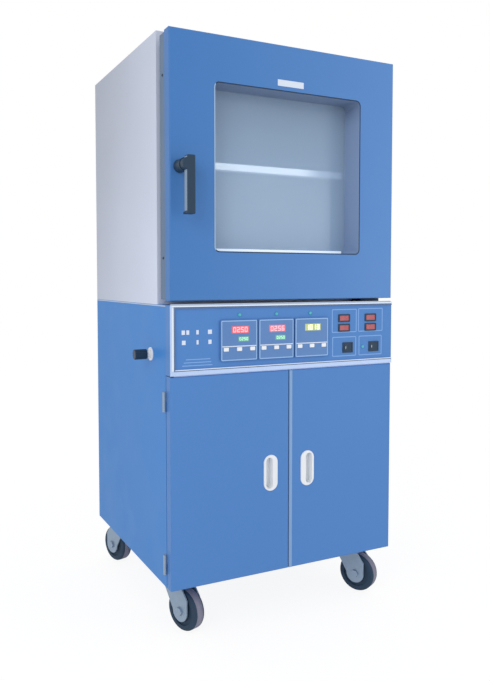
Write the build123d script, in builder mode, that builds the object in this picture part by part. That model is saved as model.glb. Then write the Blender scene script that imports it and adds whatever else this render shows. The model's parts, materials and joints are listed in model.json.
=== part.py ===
from build123d import *
from math import cos, radians, sin
import os

# Floor-standing vacuum oven: a heated vacuum chamber with a windowed door, on a cabinet with the
# controls, a vacuum pump behind two doors, and four swivel casters.
# Millimetres. +X is right as seen from the front, the front faces -Y, +Z is up.
# The origin is on the floor, under the middle of the cabinet.

# %% Driving dimensions
WIDTH = 620.0
DEPTH = 600.0
CASTER_HEIGHT = 133.0
CABINET_HEIGHT = 655.0
BODY_HEIGHT = 628.0
SHEET = 2.0
FOLD = 18.0
EDGE_RADIUS = 3.0
FIT_GAP = 0.3
RUNNING_GAP = 0.05

# %% Lower doors
LOWER_DOOR_THICKNESS = 26.5
LOWER_DOOR_GAP = 1.5
LOWER_DOOR_TOP_GAP = 2.0
MEETING_GAP = 2.0
SIDE_REVEAL = 0.5
PULL_WIDTH = 38.0
PULL_HEIGHT = 88.0
PULL_RIM = 6.0
PULL_CUP_WIDTH = 18.0
PULL_CUP_SHIFT = 4.0
PULL_PROUD = 3.0
PULL_DEPTH = 16.0
PULL_WALL = 1.5
PULL_OFFSET = 52.0
PULL_RISE = 245.0

# %% Lower door hinges
HINGE_PIN_RADIUS = 2.0
HINGE_KNUCKLE_RADIUS = 4.0
HINGE_HEIGHT = 46.0
HINGE_LEAF = 1.2
HINGE_LEAF_WIDTH = 20.0
LOWER_HINGE_RISE = 56.0
UPPER_HINGE_DROP = 61.0

# %% Control panel
PANEL_RAIL = 14.0
PANEL_TOP_TRIM = 8.0
PANEL_SIDE_TRIM = 12.0
PANEL_HEIGHT = 160.0
TRIM_PROUD = 3.0
TRIM_GROOVE_INSET = 2.0
TRIM_GROOVE_WIDTH = 2.0
TRIM_GROOVE_DEPTH = 1.6
CONTROLLER_SIZE = 96.0
CONTROLLER_PROUD = 6.0
CONTROLLER_CASE = 88.0
CONTROLLER_CASE_DEPTH = 70.0
CONTROLLER_CENTERS = (-139.0, -39.5, 61.0)
CONTROLLER_DROP = 84.0
DISPLAY_SIZE = (46.0, 17.0)
DISPLAY_OFFSET = (3.0, 25.0)
SETPOINT_SIZE = (29.0, 12.0)
SETPOINT_OFFSET = (11.5, 3.0)
DISPLAY_DEPTH = 1.5
KEY_WIDTH = 13.0
KEY_HEIGHT = 9.0
KEY_PITCH = 34.5
KEY_DROP = 20.5
KEY_PROUD = 1.5
KEY_TRAVEL = 1.2
KEY_DEPTH = 5.0
KEY_GAP = 0.3
LAMP_RADIUS = 4.5
LAMP_PROUD = 3.0
LAMP_STEM_RADIUS = 3.6
LAMP_STEM_LENGTH = 6.0
# Spots on the panel: X, and how far below the top of the cabinet
LAMP_DROPS = ((-136.0, 24.5), (-37.0, 24.5), (58.5, 24.5), (217.5, 114.0))
RED_SWITCH = (31.0, 15.5)
BLACK_SWITCH = (27.0, 22.0)
RED_SWITCH_DROPS = ((160.0, 39.5), (160.0, 64.0), (242.0, 39.5), (242.0, 64.0))
BLACK_SWITCH_DROPS = ((171.5, 114.5), (252.5, 114.5))
SWITCH_BEZEL = 2.2
SWITCH_BEZEL_PROUD = 1.6
SWITCH_BODY_DEPTH = 22.0
ROCKER_GAP = 0.3
ROCKER_TILT = 7.0
ROCKER_END_GAP = 1.6
ROCKER_RISE = 1.0
ROCKER_DEPTH = 3.0
ROCKER_PIVOT_DEPTH = 4.0
ROCKER_BARREL = 4.0

# %% Oven body and door
DOOR_BOTTOM_GAP = 10.0
DOOR_TOP_GAP = 14.0
DOOR_SHELL_DEPTH = 30.0
DOOR_FRAME_DEPTH = 35.0
DOOR_SEAL_SPACE = 15.0
DOOR_SIDE_REVEAL = 1.0
WINDOW_WIDTH = 406.0
WINDOW_HEIGHT = 387.0
WINDOW_RADIUS = 13.0
WINDOW_X = 3.0
WINDOW_RISE = 2.5
LINER_WALL = 2.0
GLASS_THICKNESS = 12.0
GLASS_LAP = 18.0
CLAMP_SIZE = (30.0, 6.0, 10.0)
CLAMP_SPREAD = 0.6
SEAL_WIDTH = 8.0
SEAL_INSET = 3.0

# %% Chamber
CHAMBER_WIDTH = 450.0
CHAMBER_HEIGHT = 450.0
CHAMBER_DEPTH = 450.0
CHAMBER_WALL = 4.0
CHAMBER_FLANGE = 24.0
CHAMBER_FLANGE_THICKNESS = 6.0
CHAMBER_RADIUS = 12.0
INSULATION = 38.0
INSULATION_REAR = 24.0
HEATER_THICKNESS = 8.0
HEATER_COVER = 0.8
SHELF_THICKNESS = 3.0
SHELF_LIP = 22.0
SHELF_SIDE_GAP = 3.0
SHELF_FRONT_INSET = 24.0
SHELF_DEPTH = 400.0
SHELF_RISE = 30.0
SHELF_HOLE_RADIUS = 7.0
SHELF_HOLE_PITCH = 62.0
RAIL_WIDTH = 16.0
RAIL_THICKNESS = 3.0
THERMOWELL_RADIUS = 4.0
THERMOWELL_LENGTH = 60.0
THERMOWELL_INSET = 12.0

# %% Oven door hinge and latch
DOOR_AXIS_INSET = 22.0
DOOR_AXIS_BACK = 49.0
HINGE_BLOCK_WIDTH = 57.0
HINGE_BLOCK_HEIGHT = 8.0
OVEN_PIN_RADIUS = 5.0
OVEN_PIN_LENGTH = 14.0
OVEN_HINGE_GAP = 1.5
HINGE_BOSS = (28.0, 20.0, 16.0)
HUB_RADIUS = 15.0
HUB_FACE_RADIUS = 13.5
HUB_X = -285.0
HUB_DROP = 4.0
HANDLE_STANDOFF = 34.0
GRIP_WIDTH = 19.0
GRIP_DEPTH = 18.0
GRIP_TOP = 19.0
GRIP_LENGTH = 128.0
GRIP_SHIFT = 7.0
GRIP_FOOT = 5.0
GRIP_FOOT_DEPTH = 10.0
GRIP_FOOT_OVERLAP = 1.0
SPINDLE_RADIUS = 5.0
SPINDLE_BOSS_RADIUS = 10.0
CAM_LENGTH = 26.0
CAM_WIDTH = 14.0
CAM_THICKNESS = 5.0
CAM_CLEARANCE = 1.0
KEEPER_CLEARANCE = 0.8
KEEPER_LIP = 17.5
KEEPER_HEIGHT = 40.0
KEEPER_THICKNESS = 2.5

# %% Vacuum pump, pipe and fittings
PUMP_X = 110.0
PUMP_WIDTH = 130.0
PUMP_HEIGHT = 150.0
PUMP_LENGTH = 190.0
PUMP_FRONT_Y = -90.0
PUMP_BASE_HEIGHT = 24.0
PUMP_RADIUS = 10.0
PUMP_FOOT_RADIUS = 12.0
PUMP_FOOT_SPACING = (98.0, 265.0)
MOTOR_RADIUS = 68.0
MOTOR_CORE_RADIUS = 63.0
MOTOR_LENGTH = 150.0
MOTOR_FAN_COVER = 34.0
MOTOR_FIN = 3.0
MOTOR_FIN_PITCH = 9.0
MOTOR_FIN_COUNT = 11
MOTOR_SADDLE = (118.0, 120.0, 12.0)
SIGHT_GLASS_RADIUS = 14.0
SIGHT_GLASS_Z = 62.0
SIGHT_GLASS_PROUD = 5.0
LOOP_WIDTH = 84.0
LOOP_RISE = 34.0
LOOP_BAR = 10.0
LOOP_Y = -45.0
PUMP_PORT_Y = 10.0
PIPE_RADIUS = 11.0
PIPE_BEND = 18.0
PIPE_X = 110.0
PORT_LEVEL = 78.0
PIPE_RISE = 107.0
PIPE_DROP_Y = 277.0
PORT_RADIUS = 16.0
PORT_HEIGHT = 34.0
VALVE_Y = -173.0
VALVE_DROP = 120.0
VALVE_FLANGE_RADIUS = 16.0
VALVE_FLANGE_THICKNESS = 3.0
VALVE_NECK_RADIUS = 6.0
VALVE_NECK_LENGTH = 9.0
VALVE_KNOB_RADIUS = 12.0
VALVE_KNOB_LENGTH = 30.0
VALVE_KNOB_BORE = 12.0
GLAND_RADIUS = 11.0
GLAND_STEM_RADIUS = 8.8
GLAND_NUT = 5.0
GLAND_HEAD = 6.0
GLAND_TAIL = 12.0
GLAND_X = -200.0
GLAND_RISE = 167.0
LOUVRE_COUNT = 7
LOUVRE_LENGTH = 150.0
LOUVRE_HEIGHT = 6.0
LOUVRE_PITCH = 18.0
LOUVRE_COLUMN_PITCH = 195.0
CABINET_LOUVRE_DROP = 237.0

# %% Casters
WHEEL_RADIUS = 50.0
WHEEL_WIDTH = 32.0
WHEEL_HUB_RADIUS = 22.0
WHEEL_HUB_RECESS = 3.0
AXLE_RADIUS = 6.0
FORK_WALL = 3.5
FORK_SIDE_GAP = 2.5
FORK_LEG_WIDTH = 50.0
FORK_SHOULDER = 0.45
CASTER_TRAIL = 34.0
CASTER_PLATE_WIDTH = 80.0
CASTER_PLATE_THICKNESS = 4.0
RACE_RADIUS = 29.0
RACE_HEIGHT = 9.0
KINGPIN_RADIUS = 8.0
CASTERS = {
    "front_left": (-253.0, -190.7, 19.7),
    "front_right": (248.4, -197.3, 27.6),
    "rear_left": (-250.0, 243.0, 197.6),
    "rear_right": (250.0, 243.0, 168.0),
}

# %% Levels worked out from the sizes above
side_x = WIDTH / 2
front_y = -DEPTH / 2
rear_y = DEPTH / 2
cabinet_bottom = CASTER_HEIGHT
cabinet_top = cabinet_bottom + CABINET_HEIGHT
body_top = cabinet_top + BODY_HEIGHT
cabinet_front = front_y + LOWER_DOOR_THICKNESS + LOWER_DOOR_GAP
lower_door_rear = front_y + LOWER_DOOR_THICKNESS
panel_bottom = cabinet_top - PANEL_HEIGHT
lower_door_top = panel_bottom - LOWER_DOOR_TOP_GAP
shell_rear = front_y + DOOR_SHELL_DEPTH
oven_door_rear = shell_rear + DOOR_FRAME_DEPTH
body_front = oven_door_rear + DOOR_SEAL_SPACE
door_bottom = cabinet_top + DOOR_BOTTOM_GAP
door_top = body_top - DOOR_TOP_GAP
door_mid = (door_bottom + door_top) / 2
window_z = door_mid + WINDOW_RISE
oven_z = (cabinet_top + body_top) / 2
glass_rear = oven_door_rear + GLASS_THICKNESS
chamber_rear = body_front + CHAMBER_DEPTH
shelf_z = oven_z + SHELF_RISE
shelf_front = body_front + SHELF_FRONT_INSET
door_axis = (side_x - DOOR_AXIS_INSET, front_y + DOOR_AXIS_BACK)
lower_axis_x = side_x + HINGE_KNUCKLE_RADIUS + FIT_GAP
lower_axis_y = cabinet_front
hub_z = oven_z - HUB_DROP
pipe_z = oven_z + PORT_LEVEL
controller_z = cabinet_top - CONTROLLER_DROP
valve_z = cabinet_top - VALVE_DROP
cabinet_louvre_z = cabinet_top - CABINET_LOUVRE_DROP
gland_z = cabinet_bottom + GLAND_RISE
pull_z = cabinet_bottom + PULL_RISE
hinge_levels = (cabinet_bottom + LOWER_HINGE_RISE, panel_bottom - UPPER_HINGE_DROP)
lamp_spots = [(x, cabinet_top - drop) for x, drop in LAMP_DROPS]

os.makedirs("parts", exist_ok=True)


def facing_front(y):
    """A sketch plane seen from the front: local x is X, local y is Z, and it extrudes towards -Y."""
    return Plane(origin=(0, y, 0), x_dir=(1, 0, 0), z_dir=(0, -1, 0))


def facing_side(x):
    """A sketch plane seen from the right: local x is Y, local y is Z, and it extrudes towards +X."""
    return Plane.YZ.offset(x)


def save(piece, name):
    piece.part.label = name
    export_step(piece.part, f"parts/{name}.step")


# %% Casters: plate with a ball race, swivelling fork with its axle bolt, and a solid rubber wheel
plate_bottom = cabinet_bottom - CASTER_PLATE_THICKNESS
race_bottom = plate_bottom - RACE_HEIGHT

with BuildPart() as caster_plates:
    with BuildSketch(Plane.XY.offset(plate_bottom)):
        for x, y, turn in CASTERS.values():
            with Locations((x, y)):
                RectangleRounded(CASTER_PLATE_WIDTH, CASTER_PLATE_WIDTH, 8)
    extrude(amount=CASTER_PLATE_THICKNESS)
    with BuildSketch(Plane.XY.offset(race_bottom)):
        for x, y, turn in CASTERS.values():
            with Locations((x, y)):
                Circle(RACE_RADIUS)
    extrude(amount=RACE_HEIGHT)
    with BuildSketch(Plane.XY.offset(race_bottom)):
        for x, y, turn in CASTERS.values():
            with Locations((x, y)):
                Circle(KINGPIN_RADIUS + RUNNING_GAP)
    extrude(amount=RACE_HEIGHT, mode=Mode.SUBTRACT)
save(caster_plates, "caster_plates")

fork_top = race_bottom - FIT_GAP
fork_outer = WHEEL_WIDTH + 2 * (FORK_SIDE_GAP + FORK_WALL)


def caster_plane(x, y, turn):
    """The caster's own upright plane: local x along the axle, local y up, trailing away from it."""
    axle = (-cos(radians(turn)), -sin(radians(turn)), 0)
    trail = (sin(radians(turn)), -cos(radians(turn)), 0)
    center = (x + CASTER_TRAIL * trail[0], y + CASTER_TRAIL * trail[1], WHEEL_RADIUS)
    return Plane(origin=center, x_dir=trail, z_dir=axle)


for corner, (x, y, turn) in CASTERS.items():
    upright = caster_plane(x, y, turn)
    crown_height = fork_top - WHEEL_RADIUS
    with BuildPart() as fork:
        with BuildSketch(upright.offset(-fork_outer / 2)):
            with BuildLine():
                Polyline(
                    (FORK_LEG_WIDTH / 2, 0),
                    (FORK_LEG_WIDTH / 2, crown_height * FORK_SHOULDER),
                    (RACE_RADIUS - CASTER_TRAIL, crown_height),
                    (-RACE_RADIUS - CASTER_TRAIL, crown_height),
                    (-RACE_RADIUS - CASTER_TRAIL, crown_height - FORK_WALL * 2),
                    (-FORK_LEG_WIDTH / 2, 0),
                )
                ThreePointArc(
                    (-FORK_LEG_WIDTH / 2, 0), (0, -FORK_LEG_WIDTH / 2), (FORK_LEG_WIDTH / 2, 0)
                )
            make_face()
        extrude(amount=fork_outer)
        with BuildSketch(upright.offset(-WHEEL_WIDTH / 2 - FORK_SIDE_GAP)):
            with Locations((-CASTER_TRAIL / 2, (crown_height - FORK_WALL - WHEEL_RADIUS) / 2)):
                Rectangle(4 * WHEEL_RADIUS, crown_height - FORK_WALL + WHEEL_RADIUS)
        extrude(amount=WHEEL_WIDTH + 2 * FORK_SIDE_GAP, mode=Mode.SUBTRACT)
        with BuildSketch(upright.offset(-fork_outer / 2)):
            Circle(AXLE_RADIUS + RUNNING_GAP)
        extrude(amount=fork_outer, mode=Mode.SUBTRACT)
        with BuildSketch(Plane.XY.offset(fork_top)):
            with Locations((x, y)):
                Circle(KINGPIN_RADIUS)
        extrude(amount=RACE_HEIGHT - FIT_GAP)
    with BuildPart() as axle_bolt:
        with BuildSketch(upright.offset(-fork_outer / 2)):
            Circle(AXLE_RADIUS)
        extrude(amount=fork_outer)
        for face_offset, direction in ((-fork_outer / 2, -1), (fork_outer / 2, 1)):
            with BuildSketch(upright.offset(face_offset)):
                RegularPolygon(AXLE_RADIUS * 1.7, 6)
            extrude(amount=direction * AXLE_RADIUS * 0.8)
    pair = Compound(label=f"caster_fork_{corner}", children=[fork.part, axle_bolt.part])
    export_step(pair, f"parts/caster_fork_{corner}.step")
    with BuildPart() as wheel:
        with BuildSketch(upright.offset(-WHEEL_WIDTH / 2)):
            Circle(WHEEL_RADIUS)
        extrude(amount=WHEEL_WIDTH)
        fillet(wheel.edges().filter_by(GeomType.CIRCLE), 7)
        for face_offset, direction in ((-WHEEL_WIDTH / 2, 1), (WHEEL_WIDTH / 2, -1)):
            with BuildSketch(upright.offset(face_offset)):
                Circle(WHEEL_RADIUS * 0.72)
                Circle(WHEEL_HUB_RADIUS, mode=Mode.SUBTRACT)
            extrude(amount=direction * WHEEL_HUB_RECESS, mode=Mode.SUBTRACT)
        with BuildSketch(upright.offset(-WHEEL_WIDTH / 2)):
            Circle(AXLE_RADIUS + RUNNING_GAP)
        extrude(amount=WHEEL_WIDTH, mode=Mode.SUBTRACT)
    save(wheel, f"caster_wheel_{corner}")

# %% Cabinet carcass: welded base pan, wrap-round casing and louvred rear cover
with BuildPart() as base_pan:
    with BuildSketch(Plane.XY.offset(cabinet_bottom)):
        with Locations((0, (cabinet_front + rear_y - SHEET) / 2)):
            Rectangle(WIDTH - 2 * SHEET, rear_y - SHEET - cabinet_front)
    extrude(amount=SHEET)
    with BuildSketch(Plane.XY.offset(cabinet_bottom + SHEET)):
        for y in (cabinet_front + SHEET / 2, rear_y - SHEET * 1.5):
            with Locations((0, y)):
                Rectangle(WIDTH - 2 * SHEET, SHEET)
    extrude(amount=FOLD)
save(base_pan, "base_pan")

with BuildPart() as cabinet_casing:
    with BuildSketch(facing_front(rear_y)):
        with Locations((0, (cabinet_bottom + cabinet_top) / 2)):
            Rectangle(WIDTH, CABINET_HEIGHT)
        with Locations((0, (cabinet_bottom + cabinet_top) / 2 - SHEET / 2)):
            Rectangle(WIDTH - 2 * SHEET, CABINET_HEIGHT - SHEET, mode=Mode.SUBTRACT)
    extrude(amount=rear_y - cabinet_front)
    with BuildSketch(facing_front(cabinet_front + SHEET)):
        for x in (-side_x + SHEET + FOLD / 2, side_x - SHEET - FOLD / 2):
            with Locations((x, (cabinet_bottom + SHEET + FOLD + panel_bottom) / 2)):
                Rectangle(FOLD, panel_bottom - cabinet_bottom - SHEET - FOLD)
        with Locations((0, panel_bottom + PANEL_RAIL / 2)):
            Rectangle(WIDTH - 2 * SHEET, PANEL_RAIL + 2 * SHEET)
    extrude(amount=SHEET)
    with BuildSketch(Plane.XY.offset(cabinet_top - SHEET)):
        with Locations((PIPE_X, PIPE_DROP_Y)):
            Circle(PIPE_RADIUS + SHEET)
    extrude(amount=SHEET, mode=Mode.SUBTRACT)
    with BuildSketch(facing_side(-side_x)):
        with Locations((VALVE_Y, valve_z)):
            Circle(VALVE_NECK_RADIUS + FIT_GAP)
    extrude(amount=SHEET, mode=Mode.SUBTRACT)
save(cabinet_casing, "cabinet_casing")

with BuildPart() as cabinet_rear_cover:
    with BuildSketch(facing_front(rear_y)):
        with Locations((0, (cabinet_bottom + cabinet_top) / 2)):
            Rectangle(WIDTH - 2 * SHEET - 2 * FIT_GAP, CABINET_HEIGHT - 2 * SHEET - 2 * FIT_GAP)
        with Locations((0, cabinet_louvre_z)):
            with GridLocations(LOUVRE_COLUMN_PITCH, LOUVRE_PITCH, 3, LOUVRE_COUNT):
                SlotOverall(LOUVRE_LENGTH, LOUVRE_HEIGHT, mode=Mode.SUBTRACT)
        with Locations((GLAND_X, gland_z)):
            Circle(GLAND_STEM_RADIUS, mode=Mode.SUBTRACT)
    extrude(amount=SHEET)
save(cabinet_rear_cover, "cabinet_rear_cover")

with BuildPart() as cable_gland:
    with BuildSketch(facing_front(rear_y - SHEET)):
        with Locations((GLAND_X, gland_z)):
            RegularPolygon(GLAND_RADIUS, 6)
    extrude(amount=GLAND_NUT)
    with BuildSketch(facing_front(rear_y)):
        with Locations((GLAND_X, gland_z)):
            Circle(GLAND_STEM_RADIUS - FIT_GAP)
    extrude(amount=SHEET)
    with BuildSketch(facing_front(rear_y)):
        with Locations((GLAND_X, gland_z)):
            RegularPolygon(GLAND_RADIUS, 6)
    extrude(amount=-GLAND_HEAD)
    with BuildSketch(facing_front(rear_y + GLAND_HEAD)):
        with Locations((GLAND_X, gland_z)):
            Circle(GLAND_STEM_RADIUS)
    extrude(amount=-GLAND_TAIL)
    fillet(cable_gland.faces().sort_by(Axis.Y)[-1].edges(), EDGE_RADIUS)
save(cable_gland, "cable_gland")

# %% Bleed valve on the left side: fixed flange with its neck, and a knob that turns on the neck
valve_side = facing_side(-side_x)
with BuildPart() as vent_valve_flange:
    with BuildSketch(valve_side):
        with Locations((VALVE_Y, valve_z)):
            Circle(VALVE_FLANGE_RADIUS)
    extrude(amount=-VALVE_FLANGE_THICKNESS)
    fillet(vent_valve_flange.faces().sort_by(Axis.X)[0].edges(), 1)
    with BuildSketch(valve_side.offset(SHEET + VALVE_NECK_LENGTH)):
        with Locations((VALVE_Y, valve_z)):
            Circle(VALVE_NECK_RADIUS)
    extrude(amount=-SHEET - 2 * VALVE_NECK_LENGTH - VALVE_FLANGE_THICKNESS - VALVE_KNOB_BORE)
save(vent_valve_flange, "vent_valve_flange")

knob_start = VALVE_FLANGE_THICKNESS + VALVE_NECK_LENGTH
with BuildPart() as vent_valve_knob:
    with BuildSketch(valve_side.offset(-knob_start - FIT_GAP)):
        with Locations((VALVE_Y, valve_z)):
            Circle(VALVE_KNOB_RADIUS)
            with PolarLocations(VALVE_KNOB_RADIUS + 1.2, 10):
                Circle(2.2, mode=Mode.SUBTRACT)
    extrude(amount=-VALVE_KNOB_LENGTH)
    chamfer(vent_valve_knob.faces().sort_by(Axis.X)[0].edges(), 0.8)
    with BuildSketch(valve_side.offset(-knob_start - FIT_GAP)):
        with Locations((VALVE_Y, valve_z)):
            Circle(VALVE_NECK_RADIUS + RUNNING_GAP)
    extrude(amount=-VALVE_KNOB_BORE, mode=Mode.SUBTRACT)
save(vent_valve_knob, "vent_valve_knob")

# %% Control panel: fascia, its trim frame, controllers, displays, keys, switches and lamps
fascia_left = -side_x + PANEL_SIDE_TRIM
fascia_bottom = panel_bottom + PANEL_RAIL
fascia_top = cabinet_top - PANEL_TOP_TRIM
switch_spots = [((x, cabinet_top - drop), RED_SWITCH) for x, drop in RED_SWITCH_DROPS]
switch_spots += [((x, cabinet_top - drop), BLACK_SWITCH) for x, drop in BLACK_SWITCH_DROPS]

panel_mid = (panel_bottom + cabinet_top) / 2
fascia_mid = (fascia_bottom + fascia_top) / 2


def add_trim_opening(margin, mode):
    """A rectangle that leaves the trim's strips on the left, above and below, open to the right."""
    left = fascia_left - margin
    with Locations(((left + side_x) / 2, fascia_mid)):
        Rectangle(side_x - left, fascia_top - fascia_bottom + 2 * margin, mode=mode)


with BuildPart() as fascia_trim:
    with BuildSketch(facing_front(front_y)):
        with Locations((0, panel_mid)):
            Rectangle(WIDTH, PANEL_HEIGHT)
        add_trim_opening(0, Mode.SUBTRACT)
    extrude(amount=TRIM_PROUD)
    chamfer(fascia_trim.faces().sort_by(Axis.Y)[0].edges(), 1.0)
    with BuildSketch(facing_front(front_y - TRIM_PROUD + TRIM_GROOVE_DEPTH)):
        add_trim_opening(TRIM_GROOVE_INSET + TRIM_GROOVE_WIDTH, Mode.ADD)
        add_trim_opening(TRIM_GROOVE_INSET, Mode.SUBTRACT)
    extrude(amount=TRIM_GROOVE_DEPTH, mode=Mode.SUBTRACT)
save(fascia_trim, "fascia_trim")

with BuildPart() as fascia_panel:
    with BuildSketch(facing_front(cabinet_front - FIT_GAP)):
        with Locations((0, panel_mid)):
            Rectangle(WIDTH, PANEL_HEIGHT)
            Rectangle(WIDTH - 2 * SHEET, PANEL_HEIGHT - 2 * SHEET, mode=Mode.SUBTRACT)
    extrude(amount=cabinet_front - FIT_GAP - front_y - SHEET)
    with BuildSketch(facing_front(front_y + SHEET)):
        with Locations((0, panel_mid)):
            Rectangle(WIDTH, PANEL_HEIGHT)
        for x in CONTROLLER_CENTERS:
            with Locations((x, controller_z)):
                Rectangle(CONTROLLER_CASE, CONTROLLER_CASE, mode=Mode.SUBTRACT)
        for spot, (wide, tall) in switch_spots:
            with Locations(spot):
                Rectangle(wide, tall, mode=Mode.SUBTRACT)
        for spot in lamp_spots:
            with Locations(spot):
                Circle(LAMP_STEM_RADIUS, mode=Mode.SUBTRACT)
    extrude(amount=SHEET)
save(fascia_panel, "fascia_panel")

controller_face = front_y - CONTROLLER_PROUD
displays = [
    ((x + DISPLAY_OFFSET[0], controller_z + DISPLAY_OFFSET[1]), DISPLAY_SIZE)
    for x in CONTROLLER_CENTERS
]
displays += [
    ((x + SETPOINT_OFFSET[0], controller_z + SETPOINT_OFFSET[1]), SETPOINT_SIZE)
    for x in CONTROLLER_CENTERS[:2]
]
key_spots = {
    f"{place}_{number}": (x + (number - 2) * KEY_PITCH, controller_z - KEY_DROP)
    for place, x in zip(("left", "middle", "right"), CONTROLLER_CENTERS)
    for number in (1, 2, 3)
}

with BuildPart() as controllers:
    with BuildSketch(facing_front(front_y)):
        for x in CONTROLLER_CENTERS:
            with Locations((x, controller_z)):
                RectangleRounded(CONTROLLER_SIZE, CONTROLLER_SIZE, 3)
    extrude(amount=CONTROLLER_PROUD)
    chamfer(controllers.faces().group_by(Axis.Y)[0].edges(), 1.2)
    with BuildSketch(facing_front(front_y + CONTROLLER_CASE_DEPTH)):
        for x in CONTROLLER_CENTERS:
            with Locations((x, controller_z)):
                Rectangle(CONTROLLER_CASE - 2 * FIT_GAP, CONTROLLER_CASE - 2 * FIT_GAP)
    extrude(amount=CONTROLLER_CASE_DEPTH)
    with BuildSketch(facing_front(controller_face + DISPLAY_DEPTH)):
        for spot, (wide, tall) in displays:
            with Locations(spot):
                Rectangle(wide, tall)
    extrude(amount=DISPLAY_DEPTH, mode=Mode.SUBTRACT)
    with BuildSketch(facing_front(controller_face + KEY_DEPTH)):
        for spot in key_spots.values():
            with Locations(spot):
                Rectangle(KEY_WIDTH + 2 * KEY_GAP, KEY_HEIGHT + 2 * KEY_GAP)
    extrude(amount=KEY_DEPTH, mode=Mode.SUBTRACT)
save(controllers, "controllers")

with BuildPart() as display_windows:
    with BuildSketch(facing_front(controller_face + DISPLAY_DEPTH)):
        for spot, (wide, tall) in displays:
            with Locations(spot):
                Rectangle(wide, tall)
    extrude(amount=DISPLAY_DEPTH / 2)
save(display_windows, "display_windows")

key_length = KEY_DEPTH + KEY_PROUD - KEY_TRAVEL - FIT_GAP
for name, spot in key_spots.items():
    with BuildPart() as key:
        with BuildSketch(facing_front(controller_face - KEY_PROUD + key_length)):
            with Locations(spot):
                RectangleRounded(KEY_WIDTH, KEY_HEIGHT, 1.5)
        extrude(amount=key_length)
        fillet(key.faces().sort_by(Axis.Y)[0].edges(), 0.7)
    save(key, f"key_{name}")

with BuildPart() as indicator_lamps:
    for spot in lamp_spots:
        with BuildSketch(facing_front(front_y)):
            with Locations(spot):
                Circle(LAMP_RADIUS)
        extrude(amount=LAMP_PROUD)
    fillet(indicator_lamps.faces().group_by(Axis.Y)[0].edges(), LAMP_PROUD * 0.7)
    with BuildSketch(facing_front(front_y + LAMP_STEM_LENGTH)):
        for spot in lamp_spots:
            with Locations(spot):
                Circle(LAMP_STEM_RADIUS - FIT_GAP / 2)
    extrude(amount=LAMP_STEM_LENGTH)
save(indicator_lamps, "indicator_lamps")

with BuildPart() as switch_bodies:
    for spot, (wide, tall) in switch_spots:
        with BuildSketch(facing_front(front_y)):
            with Locations(spot):
                RectangleRounded(wide + 2 * SWITCH_BEZEL, tall + 2 * SWITCH_BEZEL, 1.5)
        extrude(amount=SWITCH_BEZEL_PROUD)
        with BuildSketch(facing_front(front_y + SWITCH_BODY_DEPTH)):
            with Locations(spot):
                Rectangle(wide - FIT_GAP, tall - FIT_GAP)
        extrude(amount=SWITCH_BODY_DEPTH)
        with BuildSketch(facing_front(front_y + SWITCH_BODY_DEPTH - SHEET)):
            with Locations(spot):
                Rectangle(wide - SWITCH_BEZEL, tall - SWITCH_BEZEL)
        extrude(amount=SWITCH_BODY_DEPTH + SWITCH_BEZEL_PROUD, mode=Mode.SUBTRACT)
save(switch_bodies, "switch_bodies")

# Each rocker is a shallow V seen from above. It rests with its left half pressed in, and turning
# it about its upright pivot presses the right half in.
rocker_pivot_y = front_y + ROCKER_PIVOT_DEPTH
rocker_names = ("red_1", "red_2", "red_3", "red_4", "black_1", "black_2")
for name, ((x, z), (wide, tall)) in zip(rocker_names, switch_spots):
    half = wide / 2 - SWITCH_BEZEL / 2 - ROCKER_END_GAP
    rise = 2 * half * sin(radians(ROCKER_TILT))
    rocker_height = tall - SWITCH_BEZEL - 2 * ROCKER_GAP
    crest = front_y - ROCKER_RISE
    with BuildPart() as rocker:
        with BuildSketch(Plane.XY.offset(z - rocker_height / 2)):
            with BuildLine():
                Polyline(
                    (x - half, crest),
                    (x, crest),
                    (x + half, crest - rise / 2),
                    (x + half, front_y + ROCKER_DEPTH),
                    (x + half / 2, rocker_pivot_y + ROCKER_DEPTH),
                    (x - half / 2, rocker_pivot_y + ROCKER_DEPTH),
                    (x - half, front_y + ROCKER_DEPTH),
                    close=True,
                )
            make_face()
            with Locations((x, rocker_pivot_y)):
                Circle(ROCKER_BARREL)
        extrude(amount=rocker_height)
    save(rocker, f"rocker_{name}")

# %% Lower doors: folded trays with oval flush pulls, hung on knuckle hinges at the outer sides
lower_door_bottom = cabinet_bottom + SIDE_REVEAL
lower_door_height = lower_door_top - lower_door_bottom
lower_door_width = side_x - SIDE_REVEAL - MEETING_GAP / 2
pull_cup_height = PULL_HEIGHT - 2 * PULL_RIM

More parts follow.
